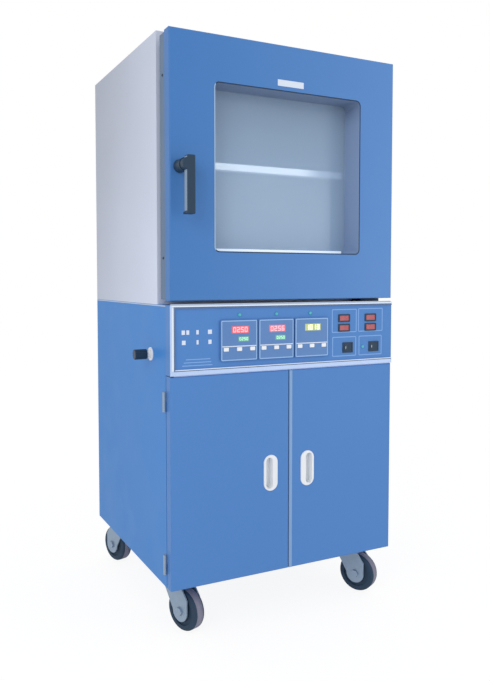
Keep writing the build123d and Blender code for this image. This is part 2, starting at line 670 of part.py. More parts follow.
for side, name in ((-1, "left"), (1, "right")):
    door_x = side * (MEETING_GAP / 2 + lower_door_width / 2)
    door_z = lower_door_bottom + lower_door_height / 2
    pull_spot = (side * PULL_OFFSET, pull_z)
    cup_spot = (side * (PULL_OFFSET + PULL_CUP_SHIFT), pull_z)
    with BuildPart() as cabinet_door:
        with BuildSketch(facing_front(lower_door_rear)):
            with Locations((door_x, door_z)):
                Rectangle(lower_door_width, lower_door_height)
        extrude(amount=LOWER_DOOR_THICKNESS)
        fillet(cabinet_door.faces().sort_by(Axis.Y)[0].edges(), EDGE_RADIUS)
        with BuildSketch(facing_front(lower_door_rear - SHEET)):
            with Locations((door_x, door_z)):
                Rectangle(lower_door_width - 2 * SHEET, lower_door_height - 2 * SHEET)
        extrude(amount=LOWER_DOOR_THICKNESS - 2 * SHEET, mode=Mode.SUBTRACT)
        with BuildSketch(facing_front(lower_door_rear)):
            with Locations((door_x, door_z)):
                Rectangle(lower_door_width - 2 * FOLD, lower_door_height - 2 * FOLD)
        extrude(amount=SHEET, mode=Mode.SUBTRACT)
        with BuildSketch(facing_front(front_y + SHEET)):
            with Locations(cup_spot):
                SlotOverall(
                    pull_cup_height + 2 * (PULL_WALL + FIT_GAP),
                    PULL_CUP_WIDTH + 2 * (PULL_WALL + FIT_GAP),
                    rotation=90,
                )
        extrude(amount=SHEET, mode=Mode.SUBTRACT)
    save(cabinet_door, f"cabinet_door_{name}")

    with BuildPart() as door_pull:
        with BuildSketch(facing_front(front_y)):
            with Locations(pull_spot):
                SlotOverall(PULL_HEIGHT, PULL_WIDTH, rotation=90)
        extrude(amount=PULL_PROUD)
        fillet(door_pull.faces().sort_by(Axis.Y)[0].edges(), PULL_PROUD * 0.6)
        with BuildSketch(facing_front(front_y + PULL_DEPTH + PULL_WALL)):
            with Locations(cup_spot):
                SlotOverall(
                    pull_cup_height + 2 * PULL_WALL, PULL_CUP_WIDTH + 2 * PULL_WALL, rotation=90
                )
        extrude(amount=PULL_DEPTH + PULL_WALL)
        with BuildSketch(facing_front(front_y + PULL_DEPTH)):
            with Locations(cup_spot):
                SlotOverall(pull_cup_height, PULL_CUP_WIDTH, rotation=90)
        extrude(amount=PULL_DEPTH + PULL_PROUD, mode=Mode.SUBTRACT)
    save(door_pull, f"door_pull_{name}")

    with BuildPart() as door_hinge:
        for z in hinge_levels:
            with BuildSketch(Plane.XY.offset(z + FIT_GAP)):
                with Locations((side * lower_axis_x, lower_axis_y)):
                    Circle(HINGE_KNUCKLE_RADIUS)
                with Locations(
                    (
                        side * (lower_axis_x - HINGE_LEAF_WIDTH / 2),
                        lower_door_rear + HINGE_LEAF / 2,
                    )
                ):
                    Rectangle(HINGE_LEAF_WIDTH, HINGE_LEAF)
                with Locations((side * lower_axis_x, lower_axis_y)):
                    Circle(HINGE_PIN_RADIUS + RUNNING_GAP, mode=Mode.SUBTRACT)
            extrude(amount=HINGE_HEIGHT / 2 - FIT_GAP)
    save(door_hinge, f"door_hinge_{name}")

with BuildPart() as cabinet_hinges:
    for side in (-1, 1):
        for z in hinge_levels:
            with BuildSketch(Plane.XY.offset(z - HINGE_HEIGHT / 2)):
                with Locations((side * lower_axis_x, lower_axis_y)):
                    Circle(HINGE_KNUCKLE_RADIUS)
                with Locations(
                    (side * (side_x + HINGE_LEAF / 2), lower_axis_y + HINGE_LEAF_WIDTH / 2)
                ):
                    Rectangle(HINGE_LEAF, HINGE_LEAF_WIDTH)
                with Locations(
                    (
                        side * (side_x + HINGE_KNUCKLE_RADIUS / 2),
                        lower_axis_y + HINGE_KNUCKLE_RADIUS / 2,
                    )
                ):
                    Rectangle(HINGE_KNUCKLE_RADIUS, HINGE_KNUCKLE_RADIUS)
            extrude(amount=HINGE_HEIGHT / 2)
            with BuildSketch(Plane.XY.offset(z)):
                with Locations((side * lower_axis_x, lower_axis_y)):
                    Circle(HINGE_PIN_RADIUS)
            extrude(amount=HINGE_HEIGHT / 2)
save(cabinet_hinges, "cabinet_hinges")

# %% Oven body: outer casing, front frame with the latch keeper, rear cover
with BuildPart() as body_casing:
    with BuildSketch(facing_front(rear_y)):
        with Locations((0, oven_z)):
            Rectangle(WIDTH, BODY_HEIGHT)
            Rectangle(WIDTH - 2 * SHEET, BODY_HEIGHT - 2 * SHEET, mode=Mode.SUBTRACT)
    extrude(amount=rear_y - body_front)
    with BuildSketch(Plane.XY.offset(cabinet_top)):
        with Locations((PIPE_X, PIPE_DROP_Y)):
            Circle(PIPE_RADIUS + SHEET)
    extrude(amount=SHEET, mode=Mode.SUBTRACT)
save(body_casing, "body_casing")

flange_width = CHAMBER_WIDTH + 2 * (CHAMBER_WALL + CHAMBER_FLANGE)
flange_height = CHAMBER_HEIGHT + 2 * (CHAMBER_WALL + CHAMBER_FLANGE)
keeper_front = oven_door_rear + KEEPER_CLEARANCE
keeper_leg_x = HUB_X + CAM_LENGTH + 2.0
with BuildPart() as body_front_frame:
    with BuildSketch(facing_front(body_front + SHEET)):
        with Locations((0, oven_z)):
            Rectangle(WIDTH - 2 * SHEET, BODY_HEIGHT - 2 * SHEET)
            Rectangle(flange_width + 2 * FIT_GAP, flange_height + 2 * FIT_GAP, mode=Mode.SUBTRACT)
    extrude(amount=SHEET)

# The keeper is two flat plates, a leg standing on the frame and a lip welded across its end
with BuildPart() as keeper_leg:
    with BuildSketch(facing_front(body_front)):
        with Locations((keeper_leg_x + KEEPER_THICKNESS / 2, hub_z)):
            Rectangle(KEEPER_THICKNESS, KEEPER_HEIGHT)
    extrude(amount=body_front - keeper_front - KEEPER_THICKNESS)
with BuildPart() as keeper_lip:
    with BuildSketch(facing_front(keeper_front + KEEPER_THICKNESS)):
        with Locations((keeper_leg_x + KEEPER_THICKNESS - KEEPER_LIP / 2, hub_z)):
            Rectangle(KEEPER_LIP, KEEPER_HEIGHT)
    extrude(amount=KEEPER_THICKNESS)
front_and_keeper = Compound(
    label="body_front_frame",
    children=[body_front_frame.part, keeper_leg.part, keeper_lip.part],
)
export_step(front_and_keeper, "parts/body_front_frame.step")

with BuildPart() as body_rear_cover:
    with BuildSketch(facing_front(rear_y)):
        with Locations((0, oven_z)):
            Rectangle(WIDTH - 2 * SHEET - 2 * FIT_GAP, BODY_HEIGHT - 2 * SHEET - 2 * FIT_GAP)
            with GridLocations(LOUVRE_COLUMN_PITCH, LOUVRE_PITCH, 2, LOUVRE_COUNT):
                SlotOverall(LOUVRE_LENGTH, LOUVRE_HEIGHT, mode=Mode.SUBTRACT)
    extrude(amount=SHEET)
save(body_rear_cover, "body_rear_cover")

# %% Vacuum chamber: welded vessel with its mouth flange, shelf rails, thermowell and suction port
with BuildPart() as chamber:
    with BuildSketch(facing_front(chamber_rear + CHAMBER_WALL)):
        with Locations((0, oven_z)):
            RectangleRounded(
                CHAMBER_WIDTH + 2 * CHAMBER_WALL,
                CHAMBER_HEIGHT + 2 * CHAMBER_WALL,
                CHAMBER_RADIUS + CHAMBER_WALL,
            )
    extrude(amount=CHAMBER_DEPTH + CHAMBER_WALL)
    with BuildSketch(facing_front(body_front + CHAMBER_FLANGE_THICKNESS)):
        with Locations((0, oven_z)):
            Rectangle(flange_width, flange_height)
    extrude(amount=CHAMBER_FLANGE_THICKNESS)
    with BuildSketch(facing_front(chamber_rear)):
        with Locations((0, oven_z)):
            RectangleRounded(CHAMBER_WIDTH, CHAMBER_HEIGHT, CHAMBER_RADIUS)
    extrude(amount=CHAMBER_DEPTH, mode=Mode.SUBTRACT)
    with BuildSketch(facing_front(shelf_front + SHELF_DEPTH)):
        for side in (-1, 1):
            with Locations(
                (
                    side * (CHAMBER_WIDTH / 2 - RAIL_WIDTH / 2),
                    shelf_z - SHELF_THICKNESS - RAIL_THICKNESS / 2,
                )
            ):
                Rectangle(RAIL_WIDTH, RAIL_THICKNESS)
    extrude(amount=SHELF_DEPTH - RAIL_WIDTH)
    with BuildSketch(facing_front(chamber_rear)):
        with Locations(
            (
                CHAMBER_WIDTH / 2 - 3 * THERMOWELL_INSET,
                oven_z + CHAMBER_HEIGHT / 2 - THERMOWELL_INSET,
            )
        ):
            Circle(THERMOWELL_RADIUS)
    extrude(amount=THERMOWELL_LENGTH)
    with BuildSketch(facing_front(chamber_rear + CHAMBER_WALL)):
        with Locations((PIPE_X, pipe_z)):
            Circle(PIPE_RADIUS)
    extrude(amount=CHAMBER_WALL, mode=Mode.SUBTRACT)
save(chamber, "chamber")

heater_reach = CHAMBER_WIDTH / 2 + CHAMBER_WALL
heater_rise = CHAMBER_HEIGHT / 2 + CHAMBER_WALL
with BuildPart() as heater_plates:
    with BuildSketch(facing_front(chamber_rear - CHAMBER_FLANGE)):
        for side in (-1, 1):
            with Locations((side * (heater_reach + HEATER_THICKNESS / 2), oven_z)):
                Rectangle(HEATER_THICKNESS, CHAMBER_HEIGHT * HEATER_COVER)
            with Locations((0, oven_z + side * (heater_rise + HEATER_THICKNESS / 2))):
                Rectangle(CHAMBER_WIDTH * HEATER_COVER, HEATER_THICKNESS)
    extrude(amount=CHAMBER_DEPTH - 3 * CHAMBER_FLANGE)
save(heater_plates, "heater_plates")

blanket_width = 2 * (heater_reach + HEATER_THICKNESS + FIT_GAP)
blanket_height = 2 * (heater_rise + HEATER_THICKNESS + FIT_GAP)
blanket_rear = chamber_rear + CHAMBER_WALL + FIT_GAP
with BuildPart() as chamber_insulation:
    with BuildSketch(facing_front(blanket_rear + INSULATION_REAR)):
        with Locations((0, oven_z)):
            Rectangle(blanket_width + 2 * INSULATION, blanket_height + 2 * INSULATION)
    extrude(amount=blanket_rear + INSULATION_REAR - body_front - CHAMBER_FLANGE_THICKNESS - FIT_GAP)
    with BuildSketch(facing_front(blanket_rear)):
        with Locations((0, oven_z)):
            Rectangle(blanket_width, blanket_height)
    extrude(amount=CHAMBER_DEPTH + CHAMBER_WALL, mode=Mode.SUBTRACT)
    with BuildSketch(facing_front(blanket_rear + INSULATION_REAR)):
        with Locations((PIPE_X, pipe_z)):
            Circle(PIPE_RADIUS + FIT_GAP)
    extrude(amount=INSULATION_REAR, mode=Mode.SUBTRACT)
save(chamber_insulation, "chamber_insulation")

with BuildPart() as shelf:
    with BuildSketch(Plane.XY.offset(shelf_z - SHELF_THICKNESS)):
        with Locations((0, shelf_front + SHELF_DEPTH / 2)):
            Rectangle(CHAMBER_WIDTH - 2 * SHELF_SIDE_GAP, SHELF_DEPTH)
            with GridLocations(SHELF_HOLE_PITCH, SHELF_HOLE_PITCH, 6, 5):
                Circle(SHELF_HOLE_RADIUS, mode=Mode.SUBTRACT)
    extrude(amount=SHELF_THICKNESS)
    with BuildSketch(facing_front(shelf_front + SHELF_THICKNESS)):
        with Locations((0, shelf_z - SHELF_LIP / 2)):
            Rectangle(CHAMBER_WIDTH - 2 * SHELF_SIDE_GAP, SHELF_LIP)
    extrude(amount=SHELF_THICKNESS)
save(shelf, "shelf")

with BuildPart() as door_seal:
    with BuildSketch(facing_front(body_front)):
        with Locations((0, oven_z)):
            seal_inner = (CHAMBER_WIDTH + 2 * SEAL_INSET, CHAMBER_HEIGHT + 2 * SEAL_INSET)
            RectangleRounded(
                seal_inner[0] + 2 * SEAL_WIDTH,
                seal_inner[1] + 2 * SEAL_WIDTH,
                CHAMBER_RADIUS + SEAL_WIDTH,
            )
            RectangleRounded(*seal_inner, CHAMBER_RADIUS, mode=Mode.SUBTRACT)
    extrude(amount=body_front - glass_rear - FIT_GAP)
save(door_seal, "door_seal")

# %% Oven door: painted shell, inner frame, window liner and one thick pane
door_width = WIDTH - 2 * DOOR_SIDE_REVEAL
door_height = door_top - door_bottom
with BuildPart() as door_shell:
    with BuildSketch(facing_front(shell_rear)):
        with Locations((0, door_mid)):
            Rectangle(door_width, door_height)
    extrude(amount=DOOR_SHELL_DEPTH)
    fillet(door_shell.faces().sort_by(Axis.Y)[0].edges(), EDGE_RADIUS)
    with BuildSketch(facing_front(shell_rear)):
        with Locations((0, door_mid)):
            Rectangle(door_width - 2 * SHEET, door_height - 2 * SHEET)
    extrude(amount=DOOR_SHELL_DEPTH - SHEET, mode=Mode.SUBTRACT)
    with BuildSketch(facing_front(front_y + SHEET)):
        with Locations((WINDOW_X, window_z)):
            RectangleRounded(WINDOW_WIDTH + FIT_GAP, WINDOW_HEIGHT + FIT_GAP, WINDOW_RADIUS)
        with Locations((HUB_X, hub_z)):
            Circle(SPINDLE_RADIUS + FIT_GAP)
    extrude(amount=SHEET, mode=Mode.SUBTRACT)
save(door_shell, "door_shell")

frame_width = door_width - 2 * SHEET - 2 * FIT_GAP
frame_height = door_height - 2 * SHEET - 2 * FIT_GAP
frame_front = front_y + DOOR_SHELL_DEPTH / 2
glass_width = CHAMBER_WIDTH + 2 * GLASS_LAP
glass_height = CHAMBER_HEIGHT + 2 * GLASS_LAP
clamp_length, clamp_width, clamp_depth = CLAMP_SIZE
boss_width, boss_depth, boss_height = HINGE_BOSS
frame_ends = ((door_mid - frame_height / 2, 1), (door_mid + frame_height / 2, -1))
with BuildPart() as door_inner_frame:
    with BuildSketch(facing_front(oven_door_rear)):
        with Locations((0, door_mid)):
            Rectangle(frame_width, frame_height)
    extrude(amount=oven_door_rear - frame_front)
    with BuildSketch(facing_front(oven_door_rear - SHEET)):
        with Locations((0, door_mid)):
            Rectangle(frame_width - 2 * SHEET, frame_height - 2 * SHEET)
    extrude(amount=oven_door_rear - SHEET - frame_front, mode=Mode.SUBTRACT)
    with BuildSketch(facing_front(oven_door_rear)):
        with Locations((WINDOW_X, window_z)):
            RectangleRounded(WINDOW_WIDTH + FIT_GAP, WINDOW_HEIGHT + FIT_GAP, WINDOW_RADIUS)
    extrude(amount=SHEET, mode=Mode.SUBTRACT)
    with BuildSketch(facing_front(oven_door_rear)):
        with Locations((HUB_X, hub_z)):
            Circle(SPINDLE_BOSS_RADIUS)
    extrude(amount=SPINDLE_BOSS_RADIUS)
    with BuildSketch(facing_front(oven_door_rear)):
        with Locations((HUB_X, hub_z)):
            Circle(SPINDLE_RADIUS + RUNNING_GAP)
    extrude(amount=SPINDLE_BOSS_RADIUS, mode=Mode.SUBTRACT)
    with BuildSketch(facing_front(oven_door_rear + clamp_depth)):
        with Locations((0, oven_z)):
            with GridLocations(glass_width + clamp_width, glass_height * CLAMP_SPREAD, 2, 2):
                Rectangle(clamp_width, clamp_length)
            with GridLocations(glass_width * CLAMP_SPREAD, glass_height + clamp_width, 2, 2):
                Rectangle(clamp_length, clamp_width)
    extrude(amount=clamp_depth)
    for level, direction in frame_ends:
        with BuildSketch(Plane.XY.offset(level)):
            with Locations(door_axis):
                Rectangle(boss_width, boss_depth)
        extrude(amount=direction * boss_height)
        with BuildSketch(Plane.XY.offset(level)):
            with Locations(door_axis):
                Circle(OVEN_PIN_RADIUS + RUNNING_GAP)
        extrude(amount=direction * boss_height, mode=Mode.SUBTRACT)
save(door_inner_frame, "door_inner_frame")

with BuildPart() as window_liner:
    with BuildSketch(facing_front(oven_door_rear)):
        with Locations((WINDOW_X, window_z)):
            RectangleRounded(WINDOW_WIDTH, WINDOW_HEIGHT, WINDOW_RADIUS)
            RectangleRounded(
                WINDOW_WIDTH - 2 * LINER_WALL,
                WINDOW_HEIGHT - 2 * LINER_WALL,
                WINDOW_RADIUS - LINER_WALL,
                mode=Mode.SUBTRACT,
            )
    extrude(amount=oven_door_rear - front_y)
save(window_liner, "window_liner")

with BuildPart() as window_glass:
    with BuildSketch(facing_front(glass_rear)):
        with Locations((0, oven_z)):
            RectangleRounded(glass_width, glass_height, 6)
    extrude(amount=GLASS_THICKNESS)
save(window_glass, "window_glass")

# %% Oven door hinge brackets with their pins, above and below the door
with BuildPart() as oven_hinge_brackets:
    bracket_front = door_axis[1] - OVEN_PIN_RADIUS * 2
    for edge, direction in ((door_bottom, 1), (door_top, -1)):
        bracket_face = edge - direction * OVEN_HINGE_GAP
        with BuildSketch(Plane.XY.offset(bracket_face)):
            with Locations(
                (
                    door_axis[0] + OVEN_PIN_RADIUS * 2 - HINGE_BLOCK_WIDTH / 2,
                    (bracket_front + body_front) / 2,
                )
            ):
                Rectangle(HINGE_BLOCK_WIDTH, body_front - bracket_front)
        extrude(amount=-direction * HINGE_BLOCK_HEIGHT)
        with BuildSketch(Plane.XY.offset(bracket_face)):
            with Locations(door_axis):
                Circle(OVEN_PIN_RADIUS)
        extrude(amount=direction * OVEN_PIN_LENGTH)
save(oven_hinge_brackets, "oven_hinge_brackets")

# %% Door handle: a lever on a hub, turning the latch cam through the door on its spindle
hub_rear = front_y - FIT_GAP
grip_rear = hub_rear - HANDLE_STANDOFF
grip_x = HUB_X + GRIP_SHIFT
grip_mid = hub_z + GRIP_TOP - GRIP_LENGTH / 2
with BuildPart() as handle_lever:
    with BuildSketch(facing_front(grip_rear)):
        with Locations((grip_x, grip_mid)):
            RectangleRounded(GRIP_WIDTH, GRIP_LENGTH, 3)
        with Locations((HUB_X, hub_z)):
            Circle(HUB_FACE_RADIUS)
    extrude(amount=GRIP_DEPTH)
    fillet(handle_lever.faces().sort_by(Axis.Y)[0].edges(), 2)
    with BuildSketch(facing_front(hub_rear)):
        with Locations((HUB_X, hub_z)):
            Circle(HUB_RADIUS)
    extrude(amount=HANDLE_STANDOFF)
    with BuildSketch(facing_front(grip_rear + GRIP_FOOT_DEPTH)):
        with Locations(
            (grip_x, grip_mid - GRIP_LENGTH / 2 + GRIP_FOOT / 2 + GRIP_FOOT_OVERLAP)
        ):
            Rectangle(GRIP_WIDTH - 2 * GRIP_FOOT_OVERLAP, GRIP_FOOT)
    extrude(amount=GRIP_FOOT_DEPTH + GRIP_FOOT_OVERLAP)
save(handle_lever, "handle_lever")

cam_front = keeper_front + KEEPER_THICKNESS + CAM_CLEARANCE
with BuildPart() as latch_cam:
    with BuildSketch(facing_front(cam_front + CAM_THICKNESS)):
        with Locations((HUB_X, hub_z - CAM_LENGTH / 2 + CAM_WIDTH / 4)):
            SlotOverall(CAM_LENGTH + CAM_WIDTH / 2, CAM_WIDTH, rotation=90)
    extrude(amount=CAM_THICKNESS)
    with BuildSketch(facing_front(cam_front)):
        with Locations((HUB_X, hub_z)):
            Circle(SPINDLE_RADIUS)
    extrude(amount=cam_front - hub_rear)
save(latch_cam, "latch_cam")

# %% Vacuum pump on the base pan: oil case, motor and carrying loop, with the suction pipe above it
pump_base = cabinet_bottom + SHEET
pump_bottom = pump_base + PUMP_BASE_HEIGHT
pump_mid_y = PUMP_FRONT_Y + PUMP_LENGTH / 2
motor_front = PUMP_FRONT_Y + PUMP_LENGTH
motor_z = pump_bottom + MOTOR_RADIUS + 4.0
with BuildPart() as vacuum_pump:
    with BuildSketch(Plane.XY.offset(pump_bottom)):
        with Locations((PUMP_X, pump_mid_y)):
            RectangleRounded(PUMP_WIDTH, PUMP_LENGTH, PUMP_RADIUS)
    extrude(amount=PUMP_HEIGHT)
    fillet(vacuum_pump.faces().sort_by(Axis.Z)[-1].edges(), PUMP_RADIUS - SHEET)
    with BuildSketch(facing_front(motor_front)):
        with Locations((PUMP_X, motor_z)):
            Circle(MOTOR_CORE_RADIUS)
    extrude(amount=-MOTOR_LENGTH)
    for number in range(MOTOR_FIN_COUNT):
        with BuildSketch(facing_front(motor_front + MOTOR_FIN_PITCH * (number + 0.5))):
            with Locations((PUMP_X, motor_z)):
                Circle(MOTOR_RADIUS)
        extrude(amount=-MOTOR_FIN)
    with BuildSketch(facing_front(motor_front + MOTOR_LENGTH - MOTOR_FAN_COVER)):
        with Locations((PUMP_X, motor_z)):
            Circle(MOTOR_RADIUS)
    extrude(amount=-MOTOR_FAN_COVER)
    fillet(vacuum_pump.faces().sort_by(Axis.Y)[-1].edges(), EDGE_RADIUS)
    with BuildSketch(Plane.XY.offset(pump_base)):
        with Locations((PUMP_X, (PUMP_FRONT_Y + motor_front + MOTOR_LENGTH) / 2)):
            with GridLocations(*PUMP_FOOT_SPACING, 2, 2):
                Circle(PUMP_FOOT_RADIUS)
    extrude(amount=PUMP_BASE_HEIGHT)
    saddle_width, saddle_length, saddle_height = MOTOR_SADDLE
    with BuildSketch(Plane.XY.offset(pump_bottom)):
        with Locations((PUMP_X, motor_front + saddle_length / 2)):
            Rectangle(saddle_width, saddle_length)
    extrude(amount=saddle_height)
    with BuildSketch(Plane.XY.offset(pump_bottom + PUMP_HEIGHT)):
        with Locations((PUMP_X, PUMP_PORT_Y)):
            Circle(PORT_RADIUS)
    extrude(amount=PORT_HEIGHT)
    with BuildSketch(facing_front(PUMP_FRONT_Y)):
        with Locations((PUMP_X, pump_bottom + SIGHT_GLASS_Z)):
            Circle(SIGHT_GLASS_RADIUS)
    extrude(amount=SIGHT_GLASS_PROUD)
    with BuildSketch(facing_front(LOOP_Y + LOOP_BAR / 2)):
        with Locations((PUMP_X, pump_bottom + PUMP_HEIGHT + LOOP_RISE / 2)):
            Rectangle(LOOP_WIDTH, LOOP_RISE)
        with Locations((PUMP_X, pump_bottom + PUMP_HEIGHT + (LOOP_RISE - LOOP_BAR) / 2)):
            Rectangle(LOOP_WIDTH - 2 * LOOP_BAR, LOOP_RISE - LOOP_BAR, mode=Mode.SUBTRACT)
    extrude(amount=LOOP_BAR)
save(vacuum_pump, "vacuum_pump")

port_top = pump_bottom + PUMP_HEIGHT + PORT_HEIGHT
with BuildPart() as vacuum_pipe:
    with BuildLine() as pipe_route:
        FilletPolyline(
            (PIPE_X, PUMP_PORT_Y, port_top),
            (PIPE_X, PUMP_PORT_Y, port_top + PIPE_RISE),
            (PIPE_X, PIPE_DROP_Y, port_top + PIPE_RISE),
            (PIPE_X, PIPE_DROP_Y, pipe_z),
            (PIPE_X, chamber_rear + CHAMBER_WALL, pipe_z),
            radius=PIPE_BEND,
        )
    with BuildSketch(Plane.XY.offset(port_top)):
        with Locations((PIPE_X, PUMP_PORT_Y)):
            Circle(PIPE_RADIUS)
    sweep(path=pipe_route.line)
    with BuildSketch(Plane.XY.offset(port_top)):
        with Locations((PIPE_X, PUMP_PORT_Y)):
            Circle(PORT_RADIUS)
    extrude(amount=6)
save(vacuum_pipe, "vacuum_pipe")
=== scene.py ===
# %% [markdown]
# # A floor-standing vacuum oven
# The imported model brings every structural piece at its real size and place. This lesson adds
# what the eye sees first: the finish of each surface, the printed panel and its lit digits, the
# thin trims and the screws. The frame is loaded first, because every later piece is placed from it.

# %% Load the frame and keep its box
import bmesh
import bpy
import json
from math import cos, pi, radians, sin
from mathutils import Matrix, Vector


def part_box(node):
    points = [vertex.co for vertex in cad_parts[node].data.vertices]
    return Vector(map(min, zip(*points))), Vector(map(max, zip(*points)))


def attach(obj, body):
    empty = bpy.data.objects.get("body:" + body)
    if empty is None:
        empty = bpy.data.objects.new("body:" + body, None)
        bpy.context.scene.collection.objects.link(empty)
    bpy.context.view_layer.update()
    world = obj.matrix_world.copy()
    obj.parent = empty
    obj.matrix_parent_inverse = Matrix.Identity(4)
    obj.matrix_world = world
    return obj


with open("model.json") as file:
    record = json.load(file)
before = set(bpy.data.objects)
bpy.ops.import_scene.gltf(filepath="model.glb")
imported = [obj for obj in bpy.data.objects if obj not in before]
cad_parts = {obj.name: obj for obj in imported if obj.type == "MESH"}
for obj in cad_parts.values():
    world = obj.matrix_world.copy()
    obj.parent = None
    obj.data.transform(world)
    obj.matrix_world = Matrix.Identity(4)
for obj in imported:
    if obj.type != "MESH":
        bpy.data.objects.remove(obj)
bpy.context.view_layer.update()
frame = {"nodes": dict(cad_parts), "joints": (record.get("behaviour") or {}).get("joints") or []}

MM = 0.001

# %% [markdown]
# ## The camera
# A product of this size is seen from standing height, a little to its left. The long side of
# the picture is upright, so the lens is worked out from the picture's height, and a small shift
# keeps the uprights nearly parallel instead of tilting the camera.

# %% Camera
PICTURE = (490, 681)
FOCAL_PIXELS = 713.7
SENSOR = 36.0
camera_data = bpy.data.cameras.new("camera")
camera = bpy.data.objects.new("camera", camera_data)
bpy.context.scene.collection.objects.link(camera)
bpy.context.scene.camera = camera
camera.location = (-0.8839, -1.7955, 0.8455)
camera.rotation_euler = (radians(87.139), 0.0, radians(-26.936))
camera_data.sensor_width = SENSOR
camera_data.lens = FOCAL_PIXELS / PICTURE[1] * SENSOR
camera_data.shift_x = 0.0014
camera_data.shift_y = -0.0368
camera_data.clip_end = 50
print("lens", round(camera_data.lens, 2), "mm")

# %% [markdown]
# ## Shader helpers
# A shader is a graph of nodes. Long chains of Math nodes are hard to read, so `Wire` wraps one
# socket and lets ordinary arithmetic add those nodes. `Finish` starts a material and adds any
# other node from its type, its settings and what its sockets receive.


# %% Wire and Finish
class Wire:
    """One output socket, so that maths on it reads as an expression."""

    def __init__(self, finish, socket):
        self.finish = finish
        self.socket = socket

    def maths(self, operation, *values):
        sockets = dict(enumerate(values))
        return self.finish.node("ShaderNodeMath", {"operation": operation}, sockets)

    def __add__(self, other):
        return self.maths("ADD", self, other)

    def __sub__(self, other):
        return self.maths("SUBTRACT", self, other)

    def __rsub__(self, other):
        return self.maths("SUBTRACT", other, self)

    def __mul__(self, other):
        return self.maths("MULTIPLY", self, other)

    __radd__ = __add__
    __rmul__ = __mul__

    def __gt__(self, other):
        return self.maths("GREATER_THAN", self, other)

    def __lt__(self, other):
        return self.maths("LESS_THAN", self, other)


class Finish:
    """A new material: its Principled shader and the nodes that feed it."""

    def __init__(self, name, color, roughness, **sockets):
        self.material = bpy.data.materials.new(name)
        self.material.use_nodes = True
        self.tree = self.material.node_tree
        self.shader = self.tree.nodes["Principled BSDF"]
        self.color = (*color, 1.0)
        self.set("Base Color", self.color)
        self.set("Roughness", roughness)
        for socket, value in sockets.items():
            self.set(socket.replace("_", " "), value)

    def set(self, socket, value):
        self.feed(self.shader.inputs[socket], value)

    def feed(self, socket, value):
        if isinstance(value, Wire):
            self.tree.links.new(value.socket, socket)
        else:
            socket.default_value = value

    def node(self, kind, settings=None, sockets=None, output=0):
        node = self.tree.nodes.new(kind)
        for setting, value in (settings or {}).items():
            setattr(node, setting, value)
        for socket, value in (sockets or {}).items():
            self.feed(node.inputs[socket], value)
        return Wire(self, node.outputs[output])

    def place(self):
        return self.node("ShaderNodeTexCoord", output="Object")

    def axis(self, letter):
        return self.node("ShaderNodeSeparateXYZ", sockets={"Vector": self.place()}, output=letter)

    def noise(self, scale, detail=2.0, stretch=(1, 1, 1)):
        where = self.node("ShaderNodeMapping", sockets={"Vector": self.place(), "Scale": stretch})
        return self.node(
            "ShaderNodeTexNoise", sockets={"Vector": where, "Scale": scale, "Detail": detail}
        )

    def mix(self, factor, first, second):
        mixer = self.tree.nodes.new("ShaderNodeMix")
        mixer.data_type = "RGBA"
        for socket, value in (("Factor", factor), ("A", first), ("B", second)):
            index = {"Factor": 0, "A": 6, "B": 7}[socket]
            self.feed(mixer.inputs[index], value)
        return Wire(self, mixer.outputs[2])

    def bump(self, height, distance, strength=0.3):
        normal = self.node(
            "ShaderNodeBump", sockets={"Height": height, "Distance": distance, "Strength": strength}
        )
        self.set("Normal", normal)


def shade(color, factor):
    """The same colour, lighter or darker. Three factors, one per channel, tint it as well."""
    factors = factor if isinstance(factor, tuple) else (factor,) * 3
    return (*(min(1.0, part * each) for part, each in zip(color, factors)), 1.0)


# %% [markdown]
# ## Powder coat
# The sheet-metal panels are powder coated. The powder melts into a skin with a fine orange peel,
# a few slightly thicker areas and a soft gloss. Three noises make it: a fine one for the peel, a
# broad one for the drift of colour, and a middle one that varies the gloss. Fades along an axis
# are painted light: they make a panel paler towards one end and darker towards the other.


# %% Powder coat
def powder_coat(name, color, roughness=0.45, peel=0.00012, gloss=0.2, painted_light_fades=(), span=(0.9, 1.1)):
    """A coat of one colour. A fade is (axis, start, end, share): painted light, paler from start to
    end.
    """
    finish = Finish(name, color, roughness, Specular_IOR_Level=gloss)
    drift_and_painted_light = finish.noise(2.2, 3.0) * 0.3
    # Each fade adds painted light and shade along one axis on top of the random drift.
    for axis, start, end, share in painted_light_fades:
        drift_and_painted_light = drift_and_painted_light + (finish.axis(axis) - start) * (share / (end - start))
    finish.set("Base Color", finish.mix(drift_and_painted_light, shade(color, span[0]), shade(color, span[1])))
    finish.set("Roughness", finish.noise(14.0) * 0.12 + (roughness - 0.06))
    finish.bump(finish.noise(420.0, 2.0), peel, 0.25)
    return finish.material


BLUE = (0.096, 0.262, 0.632)
DOOR_BLUE = (0.094, 0.240, 0.575)
CASING_BLUE = (0.055, 0.240, 0.650)
LIGHT_GREY = (0.600, 0.655, 0.790)
BEIGE = (0.140, 0.215, 0.330)
blue_coat = powder_coat("blue powder coat", BLUE)
# Painted light: the door coat fades from darker and bluer at its left edge to paler at its right.
door_coat = powder_coat("blue door coat", DOOR_BLUE, painted_light_fades=(("X", -0.31, 0.31, 0.7),),
                        span=((0.56, 0.77, 0.84), (1.30, 1.20, 1.12)))
# Painted light: the casing coat is paler towards the front and darker and bluer towards the rear.
casing_coat = powder_coat("blue casing coat", CASING_BLUE, painted_light_fades=(("Y", 0.30, -0.30, 0.7),),
                          span=((0.52, 0.91, 0.94), (1.00, 1.02, 1.00)))
# Painted light: the grey coat is paler towards the front and darker towards the rear and the top.
grey_coat = powder_coat("light grey powder coat", LIGHT_GREY, 0.50, span=(0.60, 1.15),
                        painted_light_fades=(("Y", 0.30, -0.25, 0.52), ("Z", 1.416, 0.95, 0.25)))
frame_coat = powder_coat("grey inner frame coat", BEIGE, 0.5)
